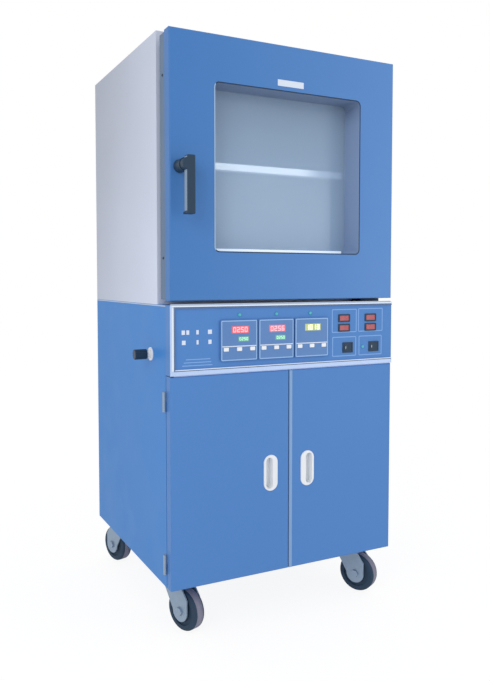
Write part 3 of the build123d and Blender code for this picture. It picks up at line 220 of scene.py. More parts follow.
# Painted shade: the liner coat is darker at the top of the window's reveal, under its upper edge.
liner_coat = powder_coat("grey liner coat", (0.260, 0.355, 0.540), 0.45, span=(0.66, 1.06),
                         painted_light_fades=(("Z", 1.300, 1.250, 0.7),))

# %% [markdown]
# ## Bare metals
# Rolled sheet and drawn profiles carry fine lines in one direction. A noise stretched hard along
# one axis gives those lines, and the same noise moves both the roughness and the bump a little.


# %% Bare metals
def brushed(name, color, roughness, stretch, scale=60.0, metallic=1.0):
    finish = Finish(name, color, roughness, Metallic=metallic)
    lines = finish.noise(scale, 4.0, stretch)
    finish.set("Base Color", finish.mix(lines, shade(color, 0.88), shade(color, 1.1)))
    finish.set("Roughness", lines * 0.22 + (roughness - 0.11))
    finish.bump(lines, 0.00008, 0.2)
    return finish.material


stainless = brushed("brushed stainless", (0.66, 0.70, 0.76), 0.40, (1, 1, 22), metallic=0.25)
shelf_steel = brushed("shelf steel", (0.92, 0.95, 0.98), 0.42, (1, 20, 1), metallic=0.1)
zinc = brushed("zinc plated steel", (0.30, 0.39, 0.50), 0.45, (3, 3, 3), 34.0, 0.4)
dark_steel = brushed("blackened steel", (0.035, 0.045, 0.065), 0.45, (3, 3, 3), 34.0)
satin_trim = brushed("satin anodised trim", (0.50, 0.64, 0.92), 0.42, (24, 1, 1), 60.0, 0.1)


# %% [markdown]
# ## Plastics, rubber and glass
# Moulded plastic is nearly even in colour, so its grain is only in the bump and in the gloss.
# Rubber is rougher and picks up dust. The pane is clear, thick glass, drawn with alpha so that the
# chamber shows through it in every viewer; its partial grey-blue opacity is a painted reflection.


# %% Plastics, rubber and glass
def moulded(name, color, roughness=0.35, grain=0.00005, **sockets):
    finish = Finish(name, color, roughness, **sockets)
    finish.set("Roughness", finish.noise(30.0) * 0.1 + (roughness - 0.05))
    cloud = finish.noise(9.0)
    finish.set("Base Color", finish.mix(cloud, shade(color, 0.95), shade(color, 1.05)))
    finish.bump(finish.noise(900.0), grain, 0.2)
    return finish.material


def rubber(name, color, roughness=0.75):
    finish = Finish(name, color, roughness)
    dust = finish.noise(25.0, 5.0)
    finish.set("Base Color", finish.mix(dust, shade(color, 0.8), shade(color, 1.35)))
    finish.bump(finish.noise(260.0, 3.0), 0.0002, 0.4)
    return finish.material


def clear_glass(name, color, reflection_film, lower_reflection_film, low, high):
    """Glass with a painted reflection: a pale film that is denser, and so paler, towards its lower
    edge.
    """
    finish = Finish(name, color, 0.08, Specular_IOR_Level=0.5)
    down = (high - finish.axis("Z")) * (1 / (high - low))
    finish.set("Alpha", finish.noise(3.0) * 0.04 + down * lower_reflection_film + reflection_film)
    return finish.material


black_plastic = moulded("black plastic", (0.016, 0.042, 0.080), 0.45, Specular_IOR_Level=0.3)
white_plastic = moulded("white plastic", (0.86, 0.89, 0.93), 0.35)
red_plastic = moulded("red switch plastic", (0.42, 0.075, 0.095), 0.28)
panel_plastic = moulded("blue controller plastic", (0.085, 0.215, 0.500), 0.40)
teal_lens = moulded("teal lamp lens", (0.04, 0.42, 0.50), 0.18)
tyre_rubber = rubber("tyre rubber", (0.016, 0.042, 0.080))
seal_rubber = rubber("silicone seal", (0.10, 0.13, 0.18), 0.6)
wool = rubber("glass wool", (0.75, 0.68, 0.45), 0.95)
mica = moulded("mica heater", (0.42, 0.36, 0.26), 0.7)
# Painted reflection: the pane is partly opaque pale grey-blue, more so towards its lower edge.
pane = clear_glass("clear pane", (0.47, 0.65, 0.88), 0.34, 0.23, 0.90, 1.31)
pump_paint = powder_coat("pump casting paint", (0.10, 0.17, 0.27), 0.5, 0.0005)


# %% [markdown]
# ## Display windows
# All five windows are one node, so their colours are told apart by where they are: the upper
# row is red but for the last, which is yellow-green, and the lower row is green.

# %% Display finish
YELLOW_WINDOW_LEFT = 0.030
LOWER_ROW_TOP = 0.716
RED_GLOW = (0.62, 0.13, 0.17, 1)
YELLOW_GLOW = (0.42, 0.50, 0.22, 1)
GREEN_GLOW = (0.13, 0.34, 0.27, 1)
display = Finish("display windows", RED_GLOW[:3], 0.2)
is_last = display.axis("X") > YELLOW_WINDOW_LEFT
is_lower = display.axis("Z") < LOWER_ROW_TOP
upper_glow = display.mix(is_last, RED_GLOW, YELLOW_GLOW)
glow = display.mix(is_lower, upper_glow, GREEN_GLOW)
display.set("Base Color", glow)
display.set("Emission Color", glow)
display.set("Emission Strength", 0.25)
display.set("Roughness", display.noise(40.0) * 0.1 + 0.15)

# %% [markdown]
# ## Dress the CAD nodes
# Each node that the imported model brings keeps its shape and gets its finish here. Nodes that
# come in sets, such as keys, switches and casters, are matched by the start of their names.

# %% Give every node its finish
FINISHES = {
    casing_coat: ("cabinet_casing",),
    blue_coat: ("base_pan", "cabinet_rear_cover", "fascia_panel",
                "cabinet_door_left", "cabinet_door_right"),
    grey_coat: ("body_casing", "body_front_frame", "body_rear_cover"),
    door_coat: ("door_shell",),
    frame_coat: ("door_inner_frame",),
    liner_coat: ("window_liner",),
    stainless: ("chamber", "vacuum_pipe"),
    shelf_steel: ("shelf",),
    zinc: ("caster_plates", "cabinet_hinges", "door_hinge_left", "door_hinge_right", "latch_cam"),
    dark_steel: ("oven_hinge_brackets",),
    satin_trim: ("fascia_trim",),
    black_plastic: ("vent_valve_knob", "switch_bodies", "handle_lever", "cable_gland"),
    white_plastic: ("vent_valve_flange", "door_pull_left", "door_pull_right"),
    panel_plastic: ("controllers",),
    teal_lens: ("indicator_lamps",),
    display.material: ("display_windows",),
    seal_rubber: ("door_seal",),
    wool: ("chamber_insulation",),
    mica: ("heater_plates",),
    pane: ("window_glass",),
    pump_paint: ("vacuum_pump",),
}
BY_PREFIX = {
    "key_": white_plastic,
    "rocker_red": red_plastic,
    "rocker_black": black_plastic,
    "caster_fork": zinc,
    "caster_wheel": tyre_rubber,
}
chosen = {node: finish for finish, nodes in FINISHES.items() for node in nodes}
for name, thing in frame["nodes"].items():
    finish = chosen.get(name)
    for prefix, prefix_finish in BY_PREFIX.items():
        if name.startswith(prefix):
            finish = prefix_finish
    thing.data.materials.clear()
    thing.data.materials.append(finish)
print("dressed", len(frame["nodes"]), "nodes")

# %% [markdown]
# ## Helpers for small pieces
# Most added pieces are thin plates, bars and screws. Each starts from a bmesh operator and is
# placed in its mesh, so that every object sits at the origin like a CAD node.


# %% Piece helpers
def piece(name, bm, finish, body):
    """Turns a bmesh into an object that rides on a body."""
    bmesh.ops.recalc_face_normals(bm, faces=bm.faces)
    mesh = bpy.data.meshes.new(name)
    bm.to_mesh(mesh)
    bm.free()
    thing = bpy.data.objects.new(name, mesh)
    bpy.context.scene.collection.objects.link(thing)
    mesh.materials.append(finish)
    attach(thing, body)
    return thing


def add_bar(bm, low, high, bevel=0.0):
    """Adds a box between two corners, with its edges rounded by the given radius."""
    size = [b - a for a, b in zip(low, high)]
    middle = [(a + b) / 2 for a, b in zip(low, high)]
    made = bmesh.ops.create_cube(bm, size=1)
    bmesh.ops.scale(bm, vec=size, verts=made["verts"])
    bmesh.ops.translate(bm, vec=middle, verts=made["verts"])
    if bevel:
        edges = list({edge for vert in made["verts"] for edge in vert.link_edges})
        bmesh.ops.bevel(bm, geom=edges, offset=bevel, affect="EDGES", segments=2, profile=0.5,
                        material=-1)


def add_screw(bm, center, axis, radius, height):
    """Adds a domed screw head whose flat side lies on the surface at center."""
    made = bmesh.ops.create_cone(bm, segments=24, radius1=radius, radius2=radius * 0.7,
                                 depth=height, cap_ends=True)
    turn = Vector((0, 0, 1)).rotation_difference(Vector(axis)).to_matrix()
    bmesh.ops.rotate(bm, verts=made["verts"], matrix=turn)
    lift = Vector(center) + Vector(axis) * height / 2
    bmesh.ops.translate(bm, verts=made["verts"], vec=lift)


def corners(node):
    """The lowest and highest corner of a node, as vectors."""
    low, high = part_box(node)
    return Vector(low), Vector(high)


def add_ring(bm, low_x, high_x, low_z, high_z, y, line, thickness, radius):
    """Adds a flat ring with rounded corners, standing a little proud of the surface at y."""
    sheet = bmesh.new()
    bmesh.ops.create_grid(sheet, x_segments=1, y_segments=1, size=0.5)
    bmesh.ops.scale(sheet, vec=(high_x - low_x, high_z - low_z, 1), verts=sheet.verts)
    bmesh.ops.bevel(sheet, geom=sheet.verts[:], offset=radius, affect="VERTICES", segments=6,
                    profile=0.5, material=-1)
    middle = next(iter(sheet.faces))
    bmesh.ops.inset_region(sheet, faces=[middle], thickness=line, use_boundary=True,
                           use_even_offset=True)
    bmesh.ops.delete(sheet, geom=[middle], context="FACES_ONLY")
    raised = bmesh.ops.extrude_face_region(sheet, geom=sheet.faces[:])
    verts = [part for part in raised["geom"] if isinstance(part, bmesh.types.BMVert)]
    bmesh.ops.translate(sheet, verts=verts, vec=(0, 0, thickness))
    bmesh.ops.rotate(sheet, verts=sheet.verts, matrix=Matrix.Rotation(pi / 2, 3, "X"))
    place = ((low_x + high_x) / 2, y, (low_z + high_z) / 2)
    bmesh.ops.translate(sheet, verts=sheet.verts, vec=place)
    bmesh.ops.recalc_face_normals(sheet, faces=sheet.faces)
    add_mesh(bm, sheet)


def add_mesh(bm, other):
    """Joins another bmesh to this one and frees it."""
    mesh = bpy.data.meshes.new("part")
    other.to_mesh(mesh)
    other.free()
    bm.from_mesh(mesh)
    bpy.data.meshes.remove(mesh)


# %% [markdown]
# ## Panel print
# The fascia is screen printed: a pale outline round each controller and each pair of switches,
# seven small plain marks and three plain lines where a real panel has its wording. Each is a film
# a few tenths of a millimetre thick.

# %% Panel print
INK = 0.15 * MM
LINE = 2.2 * MM
CORNER = 3 * MM
fascia_low = corners("fascia_panel")[0]
controllers_low, controllers_high = corners("controllers")
fascia_front = fascia_low.y
controller_front = controllers_low.y
pale_ink = moulded("pale panel ink", (0.21, 0.41, 0.76), 0.45)
border_ink = moulded("controller border ink", (0.31, 0.52, 0.83), 0.45)
white_ink = moulded("white panel ink", (0.72, 0.80, 0.92), 0.45)
SWITCH_GROUPS = ((123.5, 199.0, 712.0, 771.5), (204.0, 281.5, 712.5, 772.5),
                 (125.0, 198.0, 651.5, 701.5), (206.0, 279.0, 651.5, 702.0))
bm = bmesh.new()
for low_x, high_x, low_z, high_z in SWITCH_GROUPS:
    add_ring(bm, low_x * MM, high_x * MM, low_z * MM, high_z * MM, fascia_front, LINE, INK, CORNER)
piece("panel_group_outlines", bm, pale_ink, "cabinet")

CONTROLLER_SIDE = 96 * MM
BORDER_INSET = 1.2 * MM
controller_span = controllers_high.x - controllers_low.x
controller_step = (controller_span - CONTROLLER_SIDE) / 2
bm = bmesh.new()
for number in range(3):
    left = controllers_low.x + number * controller_step
    add_ring(bm, left + BORDER_INSET, left + CONTROLLER_SIDE - BORDER_INSET,
             controllers_low.z + BORDER_INSET, controllers_high.z - BORDER_INSET,
             controller_front, LINE, INK, CORNER)
piece("controller_borders", bm, border_ink, "cabinet")

MARKS = ((-278.0, 726.0, 8.0), (-267.0, 726.0, 7.0), (-243.0, 726.0, 6.0), (-212.0, 726.0, 10.0),
         (-277.0, 703.0, 9.0), (-243.0, 703.0, 5.0), (-212.0, 703.0, 8.0))
MARK_REACH = 5.0
LINES = ((-272.0, -211.0, 664.0), (-277.0, -209.0, 657.0), (-281.0, -206.0, 650.0))
LINE_REACH = 1.0
bm = bmesh.new()
for column, row, width in MARKS:
    add_bar(bm, ((column - width / 2) * MM, fascia_front - INK, (row - MARK_REACH) * MM),
            ((column + width / 2) * MM, fascia_front, (row + MARK_REACH) * MM))
piece("panel_marks", bm, white_ink, "cabinet")

bm = bmesh.new()
for low_x, high_x, level in LINES:
    add_bar(bm, (low_x * MM, fascia_front - INK, (level - LINE_REACH) * MM),
            (high_x * MM, fascia_front, (level + LINE_REACH) * MM))
piece("panel_lines", bm, pale_ink, "cabinet")
print("switch groups outlined:", len(SWITCH_GROUPS))

# %% [markdown]
# ## Lines of the trim frame
# The panel sits in an anodised frame with a groove all round. The land outside the groove is
# polished, and a pale film on it is a painted highlight, while dark films on the groove and on the
# thin land inside it are painted shade. Along the bottom the painted highlight lies on the inner
# land. Each line is a film.

# %% Trim lines
LAND = 2 * MM
GROOVE = 2 * MM
GROOVE_DEPTH = 1.6 * MM
RAIL, TOP_TRIM, SIDE_TRIM = 14 * MM, 8 * MM, 12 * MM
FILM = 0.3 * MM
EDGE = 1 * MM
HIGHLIGHT_WIDTH = 4.5 * MM
HIGHLIGHT_GAP = 0.2 * MM
HIGHLIGHT_START = 3 * MM
trim_low, trim_high = corners("fascia_trim")
film_front = trim_low.y - FILM
groove_floor = trim_low.y + GROOVE_DEPTH
open_left = trim_low.x + SIDE_TRIM
open_low, open_high = trim_low.z + RAIL, trim_high.z - TOP_TRIM
end_x = trim_high.x - EDGE
land_left = open_left - LAND
groove_left = land_left - GROOVE
# Painted highlight: pale films on the frame's lands.
trim_highlight_film = moulded("painted trim highlight", (0.78, 0.87, 0.97), 0.4)
groove_shade = moulded("shaded trim groove", (0.10, 0.17, 0.32), 0.6)
bm = bmesh.new()
add_bar(bm, (groove_left - HIGHLIGHT_WIDTH, film_front, open_low - LAND),
        (groove_left - HIGHLIGHT_GAP, trim_low.y, open_high + LAND))
add_bar(bm, (trim_low.x + HIGHLIGHT_START, film_front, open_high + LAND + GROOVE),
        (end_x, trim_low.y, trim_high.z - EDGE))
add_bar(bm, (open_left, film_front, open_low - LAND),
        (end_x, trim_low.y, open_low - HIGHLIGHT_GAP))
piece("trim_highlight_lines", bm, trim_highlight_film, "cabinet")

# Painted shade: dark films in the groove and on the thin inner land.
bm = bmesh.new()
add_bar(bm, (groove_left, groove_floor - FILM, open_low - LAND - GROOVE),
        (land_left, groove_floor, open_high + LAND + GROOVE))
for low_z in (open_low - LAND - GROOVE, open_high + LAND):
    add_bar(bm, (land_left, groove_floor - FILM, low_z), (end_x, groove_floor, low_z + GROOVE))
add_bar(bm, (land_left, film_front, open_low), (open_left, trim_low.y, open_high))
add_bar(bm, (land_left, film_front, open_high), (end_x, trim_low.y, open_high + LAND))
piece("trim_shade_lines", bm, groove_shade, "cabinet")
print("trim lines from", round(groove_left / MM), "to", round(end_x / MM), "mm")

# %% [markdown]
# ## Lit digits
# Each display shows plain numbers. A digit is seven bars; which bars are lit is looked up per
# digit, and the same function draws every display at its own size.

# %% Seven-segment digits
SEGMENTS = {"0": "abcdef", "1": "bc", "2": "abged", "3": "abgcd", "5": "afgcd", "6": "afgedc",
            "8": "abcdefg"}
SPANS = {"a": (0, 1, 1, 1), "b": (1, 0.5, 1, 1), "c": (1, 0, 1, 0.5), "d": (0, 0, 1, 0),
         "e": (0, 0, 0, 0.5), "f": (0, 0.5, 0, 1), "g": (0, 0.5, 1, 0.5)}


def lit(name, color, strength):
    finish = Finish(name, color, 0.3)
    level = finish.noise(50.0) * 0.1 + 0.95
    finish.set("Emission Color", finish.mix(level, shade(color, 0.6), (*color, 1)))
    finish.set("Emission Strength", strength)
    return finish.material


def add_digits(bm, text, low_x, low_z, width, height, y, stroke):
    """Draws a row of digits as lit bars, from left to right."""
    pitch = width / len(text)
    wide = pitch * 0.56
    for place, digit in enumerate(text):
        for segment in SEGMENTS[digit]:
            x0, z0, x1, z1 = SPANS[segment]
            left = low_x + place * pitch + x0 * wide
            right = low_x + place * pitch + x1 * wide
            add_bar(bm, (left - stroke / 2, y - INK, low_z + z0 * height - stroke / 2),
                    (right + stroke / 2, y, low_z + z1 * height + stroke / 2))


DISPLAY_WIDE, DISPLAY_TALL = 46 * MM, 17 * MM
DISPLAY_SHIFT, DISPLAY_STROKE = 3 * MM, 1.9 * MM
SMALL_WIDE, SMALL_TALL = 29 * MM, 12 * MM
SMALL_SHIFT, SMALL_STROKE = 11.5 * MM, 1.2 * MM
display_low, display_high = corners("display_windows")
window_face = display_low.y
upper_z = display_high.z - DISPLAY_TALL
controller_middles = [controllers_low.x + CONTROLLER_SIDE / 2 + step * controller_step
                      for step in range(3)]
pink_light = lit("pink digits", (1.0, 0.42, 0.50), 0.75)
green_light = lit("green digits", (0.42, 0.80, 0.62), 0.5)
yellow_light = lit("yellow digits", (0.92, 0.98, 0.62), 0.7)
READINGS = ((0, "0250", pink_light, "pink_digits_left"),
            (1, "0256", pink_light, "pink_digits_middle"),
            (2, "1013", yellow_light, "yellow_digits"))
for number, text, light, name in READINGS:
    bm = bmesh.new()
    left = controller_middles[number] + DISPLAY_SHIFT - DISPLAY_WIDE / 2
    add_digits(bm, text, left + 5 * MM, upper_z + 3.5 * MM, DISPLAY_WIDE - 6 * MM,
               DISPLAY_TALL - 7 * MM, window_face, DISPLAY_STROKE)
    piece(name, bm, light, "cabinet")
bm = bmesh.new()
for number in (0, 1):
    left = controller_middles[number] + SMALL_SHIFT - SMALL_WIDE / 2
    add_digits(bm, "0250", left + 4 * MM, display_low.z + 3 * MM, SMALL_WIDE - 5 * MM,
               SMALL_TALL - 6 * MM, window_face, SMALL_STROKE)
piece("green_digits", bm, green_light, "cabinet")

# %% [markdown]
# ## Key strips and switch marks
# A white strip is printed above each row of keys, and each black power switch carries the plain
# upright stroke that such switches have on one end.

# %% Key strips and switch marks
key_top = corners("key_left_1")[1].z
KEY_STRIP_INSET = 3.5 * MM
KEY_STRIP_LOW, KEY_STRIP_TOP = 1.2 * MM, 3.4 * MM
ROCKER_CREST = fascia_front - 1.0 * MM
STROKE_LEFT, STROKE_RIGHT = 4.4 * MM, 5.6 * MM
STROKE_REACH = 3.2 * MM
bm = bmesh.new()
for number in range(3):
    left = controllers_low.x + number * controller_step + KEY_STRIP_INSET
    add_bar(bm, (left, controller_front - INK, key_top + KEY_STRIP_LOW),
            (left + CONTROLLER_SIDE - 2 * KEY_STRIP_INSET, controller_front,
             key_top + KEY_STRIP_TOP))
piece("key_strips", bm, white_ink, "cabinet")

for number in (1, 2):
    low, high = corners(f"rocker_black_{number}")
    middle = (low + high) / 2
    bm = bmesh.new()
    add_bar(bm, (low.x + STROKE_LEFT, ROCKER_CREST - INK, middle.z - STROKE_REACH),
            (low.x + STROKE_RIGHT, ROCKER_CREST, middle.z + STROKE_REACH))
    piece(f"switch_mark_{number}", bm, white_ink, f"rocker_black_{number}_cap")

# %% [markdown]
# ## Trims on the oven door
# A blank name plate sits above the window. A dark bead is pressed into the joint between the
# door's face and the window liner, and its left run is coloured pale as a painted highlight. The
# bead is the same kind of rounded ring as the printed outlines, only thicker. A white strip holds
# the pane's lower edge, and its glow is a painted highlight. On the shelf's polished lip, a glowing
# film that fades out towards the right is a painted highlight seen through the pane.

# %% Oven door trims
liner_low, liner_high = corners("window_liner")
pane_face = corners("window_glass")[0].y
door_face = corners("door_shell")[0].y
bead = Finish("window bead", (0.02, 0.04, 0.08), 0.4, Specular_IOR_Level=0.2)
LIT_RUN = 4 * MM
# Painted highlight: the bead's left run is pale, where it faces the light; the rest is black.
on_left = bead.axis("X") < liner_low.x + LIT_RUN
bead.set("Base Color", bead.mix(on_left, (0.02, 0.04, 0.08, 1), (0.36, 0.52, 0.72, 1)))
pane_strip_highlight = Finish("white pane strip with painted highlight", (0.86, 0.94, 1.0), 0.4)
# Painted highlight: the strip glows where the bottom of the window is lit.
pane_strip_highlight.set("Emission Color", (0.75, 0.88, 1.0, 1))
pane_strip_highlight.set("Emission Strength", 0.35)
PLATE_CENTER = (1.5, 1313.0)
PLATE_SIZE = (72.0, 15.0)
bm = bmesh.new()
add_bar(bm, ((PLATE_CENTER[0] - PLATE_SIZE[0] / 2) * MM, door_face - 1.0 * MM,
             (PLATE_CENTER[1] - PLATE_SIZE[1] / 2) * MM),
        ((PLATE_CENTER[0] + PLATE_SIZE[0] / 2) * MM, door_face,
         (PLATE_CENTER[1] + PLATE_SIZE[1] / 2) * MM), 0.4 * MM)
piece("name_plate_blank", bm, white_ink, "oven_door")

BEAD = 2.4 * MM
bm = bmesh.new()
add_ring(bm, liner_low.x, liner_high.x, liner_low.z, liner_high.z, door_face, BEAD, 0.5 * MM,
         13 * MM)
piece("window_bead", bm, bead.material, "oven_door")

LINER_WALL = 2 * MM
STRIP_HEIGHT = 9 * MM
STRIP_INSET = 12 * MM
STRIP_FRONT, STRIP_BACK = 2 * MM, 0.1 * MM
strip_foot = liner_low.z + LINER_WALL
bm = bmesh.new()
add_bar(bm, (liner_low.x + STRIP_INSET, pane_face - STRIP_FRONT, strip_foot),
        (liner_high.x - STRIP_INSET, pane_face - STRIP_BACK, strip_foot + STRIP_HEIGHT), 0.5 * MM)
piece("pane_strip", bm, pane_strip_highlight.material, "oven_door")

shelf_low, shelf_high = corners("shelf")
LIP_STRIP = 16 * MM
# Painted highlight: a glowing film on the shelf's lip, bright at its left and fading out towards
# the right.
lip_highlight_finish = Finish("painted shelf lip highlight", (0.95, 0.97, 1.0), 0.3)
FADE_START, FADE_LENGTH = 0.10, 0.05
fading = (lip_highlight_finish.axis("X") - FADE_START) * (1 / FADE_LENGTH)
lip_highlight_finish.set("Emission Color", lip_highlight_finish.mix(fading, (0.90, 0.97, 1.0, 1), (0.12, 0.16, 0.22, 1)))
lip_highlight_finish.set("Emission Strength", 1.25)
LIP_INSET = 1 * MM
lip_top = shelf_high.z - LIP_INSET
bm = bmesh.new()
add_bar(bm, (shelf_low.x + LIP_INSET, shelf_low.y - 0.4 * MM, lip_top - LIP_STRIP),
        (shelf_high.x - LIP_INSET, shelf_low.y, lip_top))
piece("shelf_lip_highlight", bm, lip_highlight_finish.material, "cabinet")

# %% [markdown]
# ## Handle side and edge strips
# The grip's flat side is coloured pale: a painted highlight on the side that faces the light. A
# pale strip is folded over the meeting edge of the right lower door, and a drip strip backs the gap
# over both doors. A fine light line along the folded top edge of the cabinet, under the oven, is a
# painted highlight.

# %% Grip side and edge strips
grip_low, grip_high = corners("handle_lever")
# Painted highlight: the grip's flat side is pale where it faces the light.
pale_side_highlight = moulded("painted grip side highlight", (0.24, 0.33, 0.43), 0.45)
GRIP_DEPTH = 18 * MM
GRIP_WIDTH = 19 * MM
grip_left = grip_high.x - GRIP_WIDTH
bm = bmesh.new()
add_bar(bm, (grip_left - 0.3 * MM, grip_low.y + 2.5 * MM, grip_low.z + 7 * MM),
        (grip_left, grip_low.y + GRIP_DEPTH - 1 * MM, grip_high.z - 3 * MM))
piece("grip_side", bm, pale_side_highlight, "door_handle")

right_low, right_high = corners("cabinet_door_right")
STRIP_WIDTH = 7.5 * MM
strip_finish = moulded("pale edge strip", (0.22, 0.38, 0.64), 0.45)
bm = bmesh.new()
add_bar(bm, (right_low.x - 0.6 * MM, right_low.y - 0.6 * MM, right_low.z + 1 * MM),
        (right_low.x + STRIP_WIDTH, right_low.y + 4 * MM, right_high.z - 1 * MM), 0.3 * MM)
piece("meeting_strip", bm, strip_finish, "lower_door_right")

DRIP_LEFT, DRIP_RIGHT = -300 * MM, 308 * MM
bm = bmesh.new()
add_bar(bm, (DRIP_LEFT, right_low.y + 2 * MM, right_high.z + 0.1 * MM),
        (DRIP_RIGHT, right_low.y + 6 * MM, trim_low.z))
piece("drip_strip", bm, satin_trim, "cabinet")

casing_low, casing_high = corners("cabinet_casing")
# Painted highlight: a fine light line along the cabinet's folded top edge.
fold_highlight_finish = moulded("painted fold highlight", (0.50, 0.58, 0.68), 0.45)
FOLD_LINE = 2.4 * MM
FOLD_PROUD = 0.3 * MM
FOLD_DROP = 1.2 * MM
fold_top = casing_high.z - FOLD_DROP
bm = bmesh.new()
for side_x, outward in ((casing_low.x, -1), (casing_high.x, 1)):
    near, far = sorted((side_x, side_x + outward * FOLD_PROUD))
    add_bar(bm, (near, casing_low.y, fold_top - FOLD_LINE), (far, casing_high.y, fold_top))
add_bar(bm, (casing_low.x + 2 * MM, fascia_low.y + 0.5 * MM, casing_high.z),
        (casing_high.x - 2 * MM, fascia_low.y + 3 * MM, casing_high.z + 2.5 * MM))
piece("cabinet_fold_highlights", bm, fold_highlight_finish, "cabinet")

# %% [markdown]
# ## Tyre treads
# The running surface of each tyre is paler than its dark side walls: a painted highlight where the
# tread faces the light. It is a thin band round the wheel, made as an open cone with equal ends and
# turned onto the wheel's axle, which the joint gives.

# %% Tyre treads
# Painted highlight: the tread band is paler than the dark side walls.
tread_highlight_rubber = rubber("tread rubber with painted highlight", (0.22, 0.22, 0.29), 0.8)
TREAD_WIDTH = 19 * MM
TREAD_RADIUS = 50.04 * MM
TREAD_THICKNESS = 0.3 * MM
for name, thing in frame["nodes"].items():
    if not name.startswith("caster_wheel"):
        continue
    corner = name.removeprefix("caster_wheel_")
    roll = next(joint for joint in frame["joints"] if joint["name"] == f"wheel_{corner}_roll")
    hub, axle = Vector(roll["pos_m"]), Vector(roll["axis"])
    bm = bmesh.new()
    bmesh.ops.create_cone(bm, segments=96, radius1=TREAD_RADIUS, radius2=TREAD_RADIUS,
                          depth=TREAD_WIDTH, cap_ends=False)
    bmesh.ops.solidify(bm, geom=bm.faces[:], thickness=TREAD_THICKNESS)
    bmesh.ops.rotate(bm, verts=bm.verts,
                     matrix=Vector((0, 0, 1)).rotation_difference(axle).to_matrix())
    bmesh.ops.translate(bm, verts=bm.verts, vec=hub)
    tread = piece(f"tread_{corner}", bm, tread_highlight_rubber, f"wheel_{corner}")
    tread.data.shade_smooth()
print("treads on", sum(name.startswith("caster_wheel") for name in frame["nodes"]), "wheels")

# %% [markdown]
# ## Screws
# Sheet-metal covers are held by small domed screws. They sit in rows worked out from the box of
# the cover that they hold, so they follow it if its size changes.

# %% Screws
screw_steel = brushed("screw steel", (0.55, 0.60, 0.66), 0.35, (3, 3, 3), 60.0, 0.6)


def cover_screws(name, node, axis, inset, rows, radius, body, columns):
    """Screws round the edges of a flat cover, on its face towards axis."""
    low, high = corners(node)
    bm = bmesh.new()
    face_y = high.y if axis[1] > 0 else low.y
    for column in range(columns):
        x = low.x + inset + (high.x - low.x - 2 * inset) * column / (columns - 1)
        for row in range(rows):
            if 0 < column < columns - 1 and 0 < row < rows - 1:
                continue
            z = low.z + inset + (high.z - low.z - 2 * inset) * row / (rows - 1)
            add_screw(bm, (x, face_y, z), axis, radius, radius * 0.55)
    piece(name, bm, screw_steel, body)


REARWARD = (0, 1, 0)
COVER_INSET = 11 * MM
COVER_SCREW = 4 * MM
COVER_ROWS, COVER_COLUMNS = 4, 3
for name, node in (("cabinet_cover_screws", "cabinet_rear_cover"),
                   ("body_cover_screws", "body_rear_cover")):
    cover_screws(name, node, REARWARD, COVER_INSET, COVER_ROWS, COVER_SCREW, "cabinet",
                 COVER_COLUMNS)

band_left = corners("door_inner_frame")[0].x
BAND_SCREW_LEVELS = (895.0, 1307.0)
BAND_SCREW_Y = -252.5 * MM
bm = bmesh.new()
for level_mm in BAND_SCREW_LEVELS:
    add_screw(bm, (band_left, BAND_SCREW_Y, level_mm * MM), (-1, 0, 0), 3.2 * MM, 1.6 * MM)
piece("door_band_screws", bm, dark_steel, "oven_door")

HINGE_LEAF = 1.2 * MM
HINGE_SCREW_Y = -259.5 * MM
HINGE_SCREW_LEVELS = (173.0, 184.0, 551.0, 562.0)
bm = bmesh.new()
for side, sign in ((casing_low.x, -1), (casing_high.x, 1)):
    for level_mm in HINGE_SCREW_LEVELS:
        spot = (side + sign * HINGE_LEAF, HINGE_SCREW_Y, level_mm * MM)
        add_screw(bm, spot, (sign, 0, 0), 2.2 * MM, 1.0 * MM)
piece("hinge_screws", bm, screw_steel, "cabinet")

flange_low, flange_high = corners("vent_valve_flange")
flange_middle = (flange_low + flange_high) / 2
FLANGE_THICKNESS = 3 * MM
BOLT_CIRCLE = 11.5 * MM
bm = bmesh.new()
for turn in (45, 135, 225, 315):
    spot = (casing_low.x - FLANGE_THICKNESS,
            flange_middle.y + BOLT_CIRCLE * cos(radians(turn)),
            flange_middle.z + BOLT_CIRCLE * sin(radians(turn)))
    add_screw(bm, spot, (-1, 0, 0), 1.8 * MM, 1.0 * MM)
piece("valve_flange_screws", bm, screw_steel, "cabinet")


# %% [markdown]
# ## Stage and light
# The floor and the background are white, and the light is soft and plain: a bright sky all
# round, a broad lamp from the front left for the side walls and another from the front right for
# the doors. Rays from the camera and from mirrors see a white floor with a faint shadow, while
# the light that reaches the object stays at its own level.

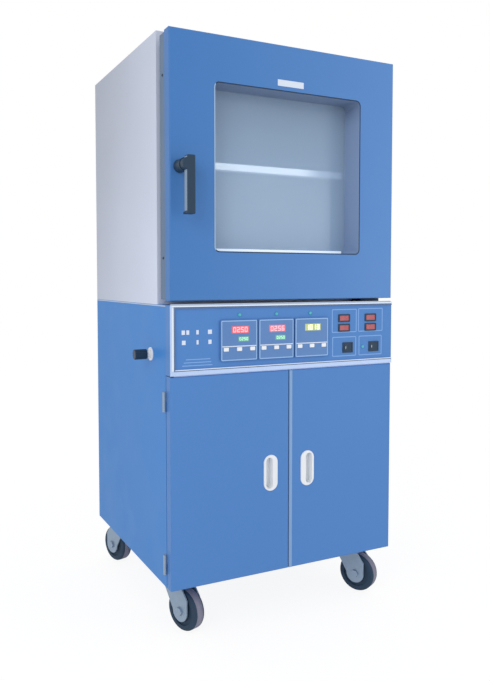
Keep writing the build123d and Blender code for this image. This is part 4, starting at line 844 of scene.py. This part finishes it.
# %% Floor
FLOOR_SHADOW = 0.16
FLOOR_GLOW = 1.06
white_floor = Finish("white floor", (0.95, 0.95, 0.95), 0.9, Specular_IOR_Level=0.0)
seen = white_floor.node("ShaderNodeLightPath", output="Is Camera Ray")
mirrored = white_floor.node("ShaderNodeLightPath", output="Is Glossy Ray")
passed = white_floor.node("ShaderNodeLightPath", output="Is Transmission Ray")
glow = white_floor.node("ShaderNodeEmission", sockets={"Strength": FLOOR_GLOW})
lit_floor = white_floor.node(
    "ShaderNodeMixShader",
    sockets={0: (seen + mirrored + passed) * (1 - FLOOR_SHADOW)},
)
tree = white_floor.tree
tree.links.new(white_floor.shader.outputs[0], lit_floor.socket.node.inputs[1])
tree.links.new(glow.socket, lit_floor.socket.node.inputs[2])
tree.links.new(lit_floor.socket, tree.nodes["Material Output"].inputs["Surface"])
bm = bmesh.new()
bmesh.ops.create_grid(bm, x_segments=1, y_segments=1, size=12)
floor_mesh = bpy.data.meshes.new("floor")
bm.to_mesh(floor_mesh)
bm.free()
floor = bpy.data.objects.new("floor", floor_mesh)
bpy.context.scene.collection.objects.link(floor)
floor_mesh.materials.append(white_floor.material)

# %% Sky and lamps
SKY_LEVEL = 0.72
world = bpy.data.worlds.new("white room")
bpy.context.scene.world = world
world.use_nodes = True
sky_nodes = world.node_tree.nodes
sky = sky_nodes["Background"]
sky.inputs["Color"].default_value = (1, 1, 1, 1)
ray = sky_nodes.new("ShaderNodeLightPath")
level = None
for kind in ("Is Camera Ray", "Is Glossy Ray", "Is Transmission Ray"):
    brighter = sky_nodes.new("ShaderNodeMath")
    brighter.operation = "MAXIMUM"
    brighter.inputs[1].default_value = SKY_LEVEL
    world.node_tree.links.new(ray.outputs[kind], brighter.inputs[0])
    if level:
        world.node_tree.links.new(level.outputs[0], brighter.inputs[1])
    level = brighter
world.node_tree.links.new(level.outputs[0], sky.inputs["Strength"])


def add_lamp(name, place, target, size, watts):
    lamp_data = bpy.data.lights.new(name, "AREA")
    lamp_data.energy = watts
    lamp_data.size = size
    lamp = bpy.data.objects.new(name, lamp_data)
    bpy.context.scene.collection.objects.link(lamp)
    lamp.location = place
    aim = Vector(target) - lamp.location
    lamp.rotation_euler = aim.to_track_quat("-Z", "Y").to_euler()
    print(name, watts, "W")


add_lamp("front left lamp", (-1.9, -1.7, 1.7), (-0.31, -0.1, 1.0), 1.2, 13)
add_lamp("front right lamp", (1.6, -2.4, 0.8), (0.25, -0.3, 0.8), 1.4, 9)
bpy.context.scene.view_settings.view_transform = "Standard"
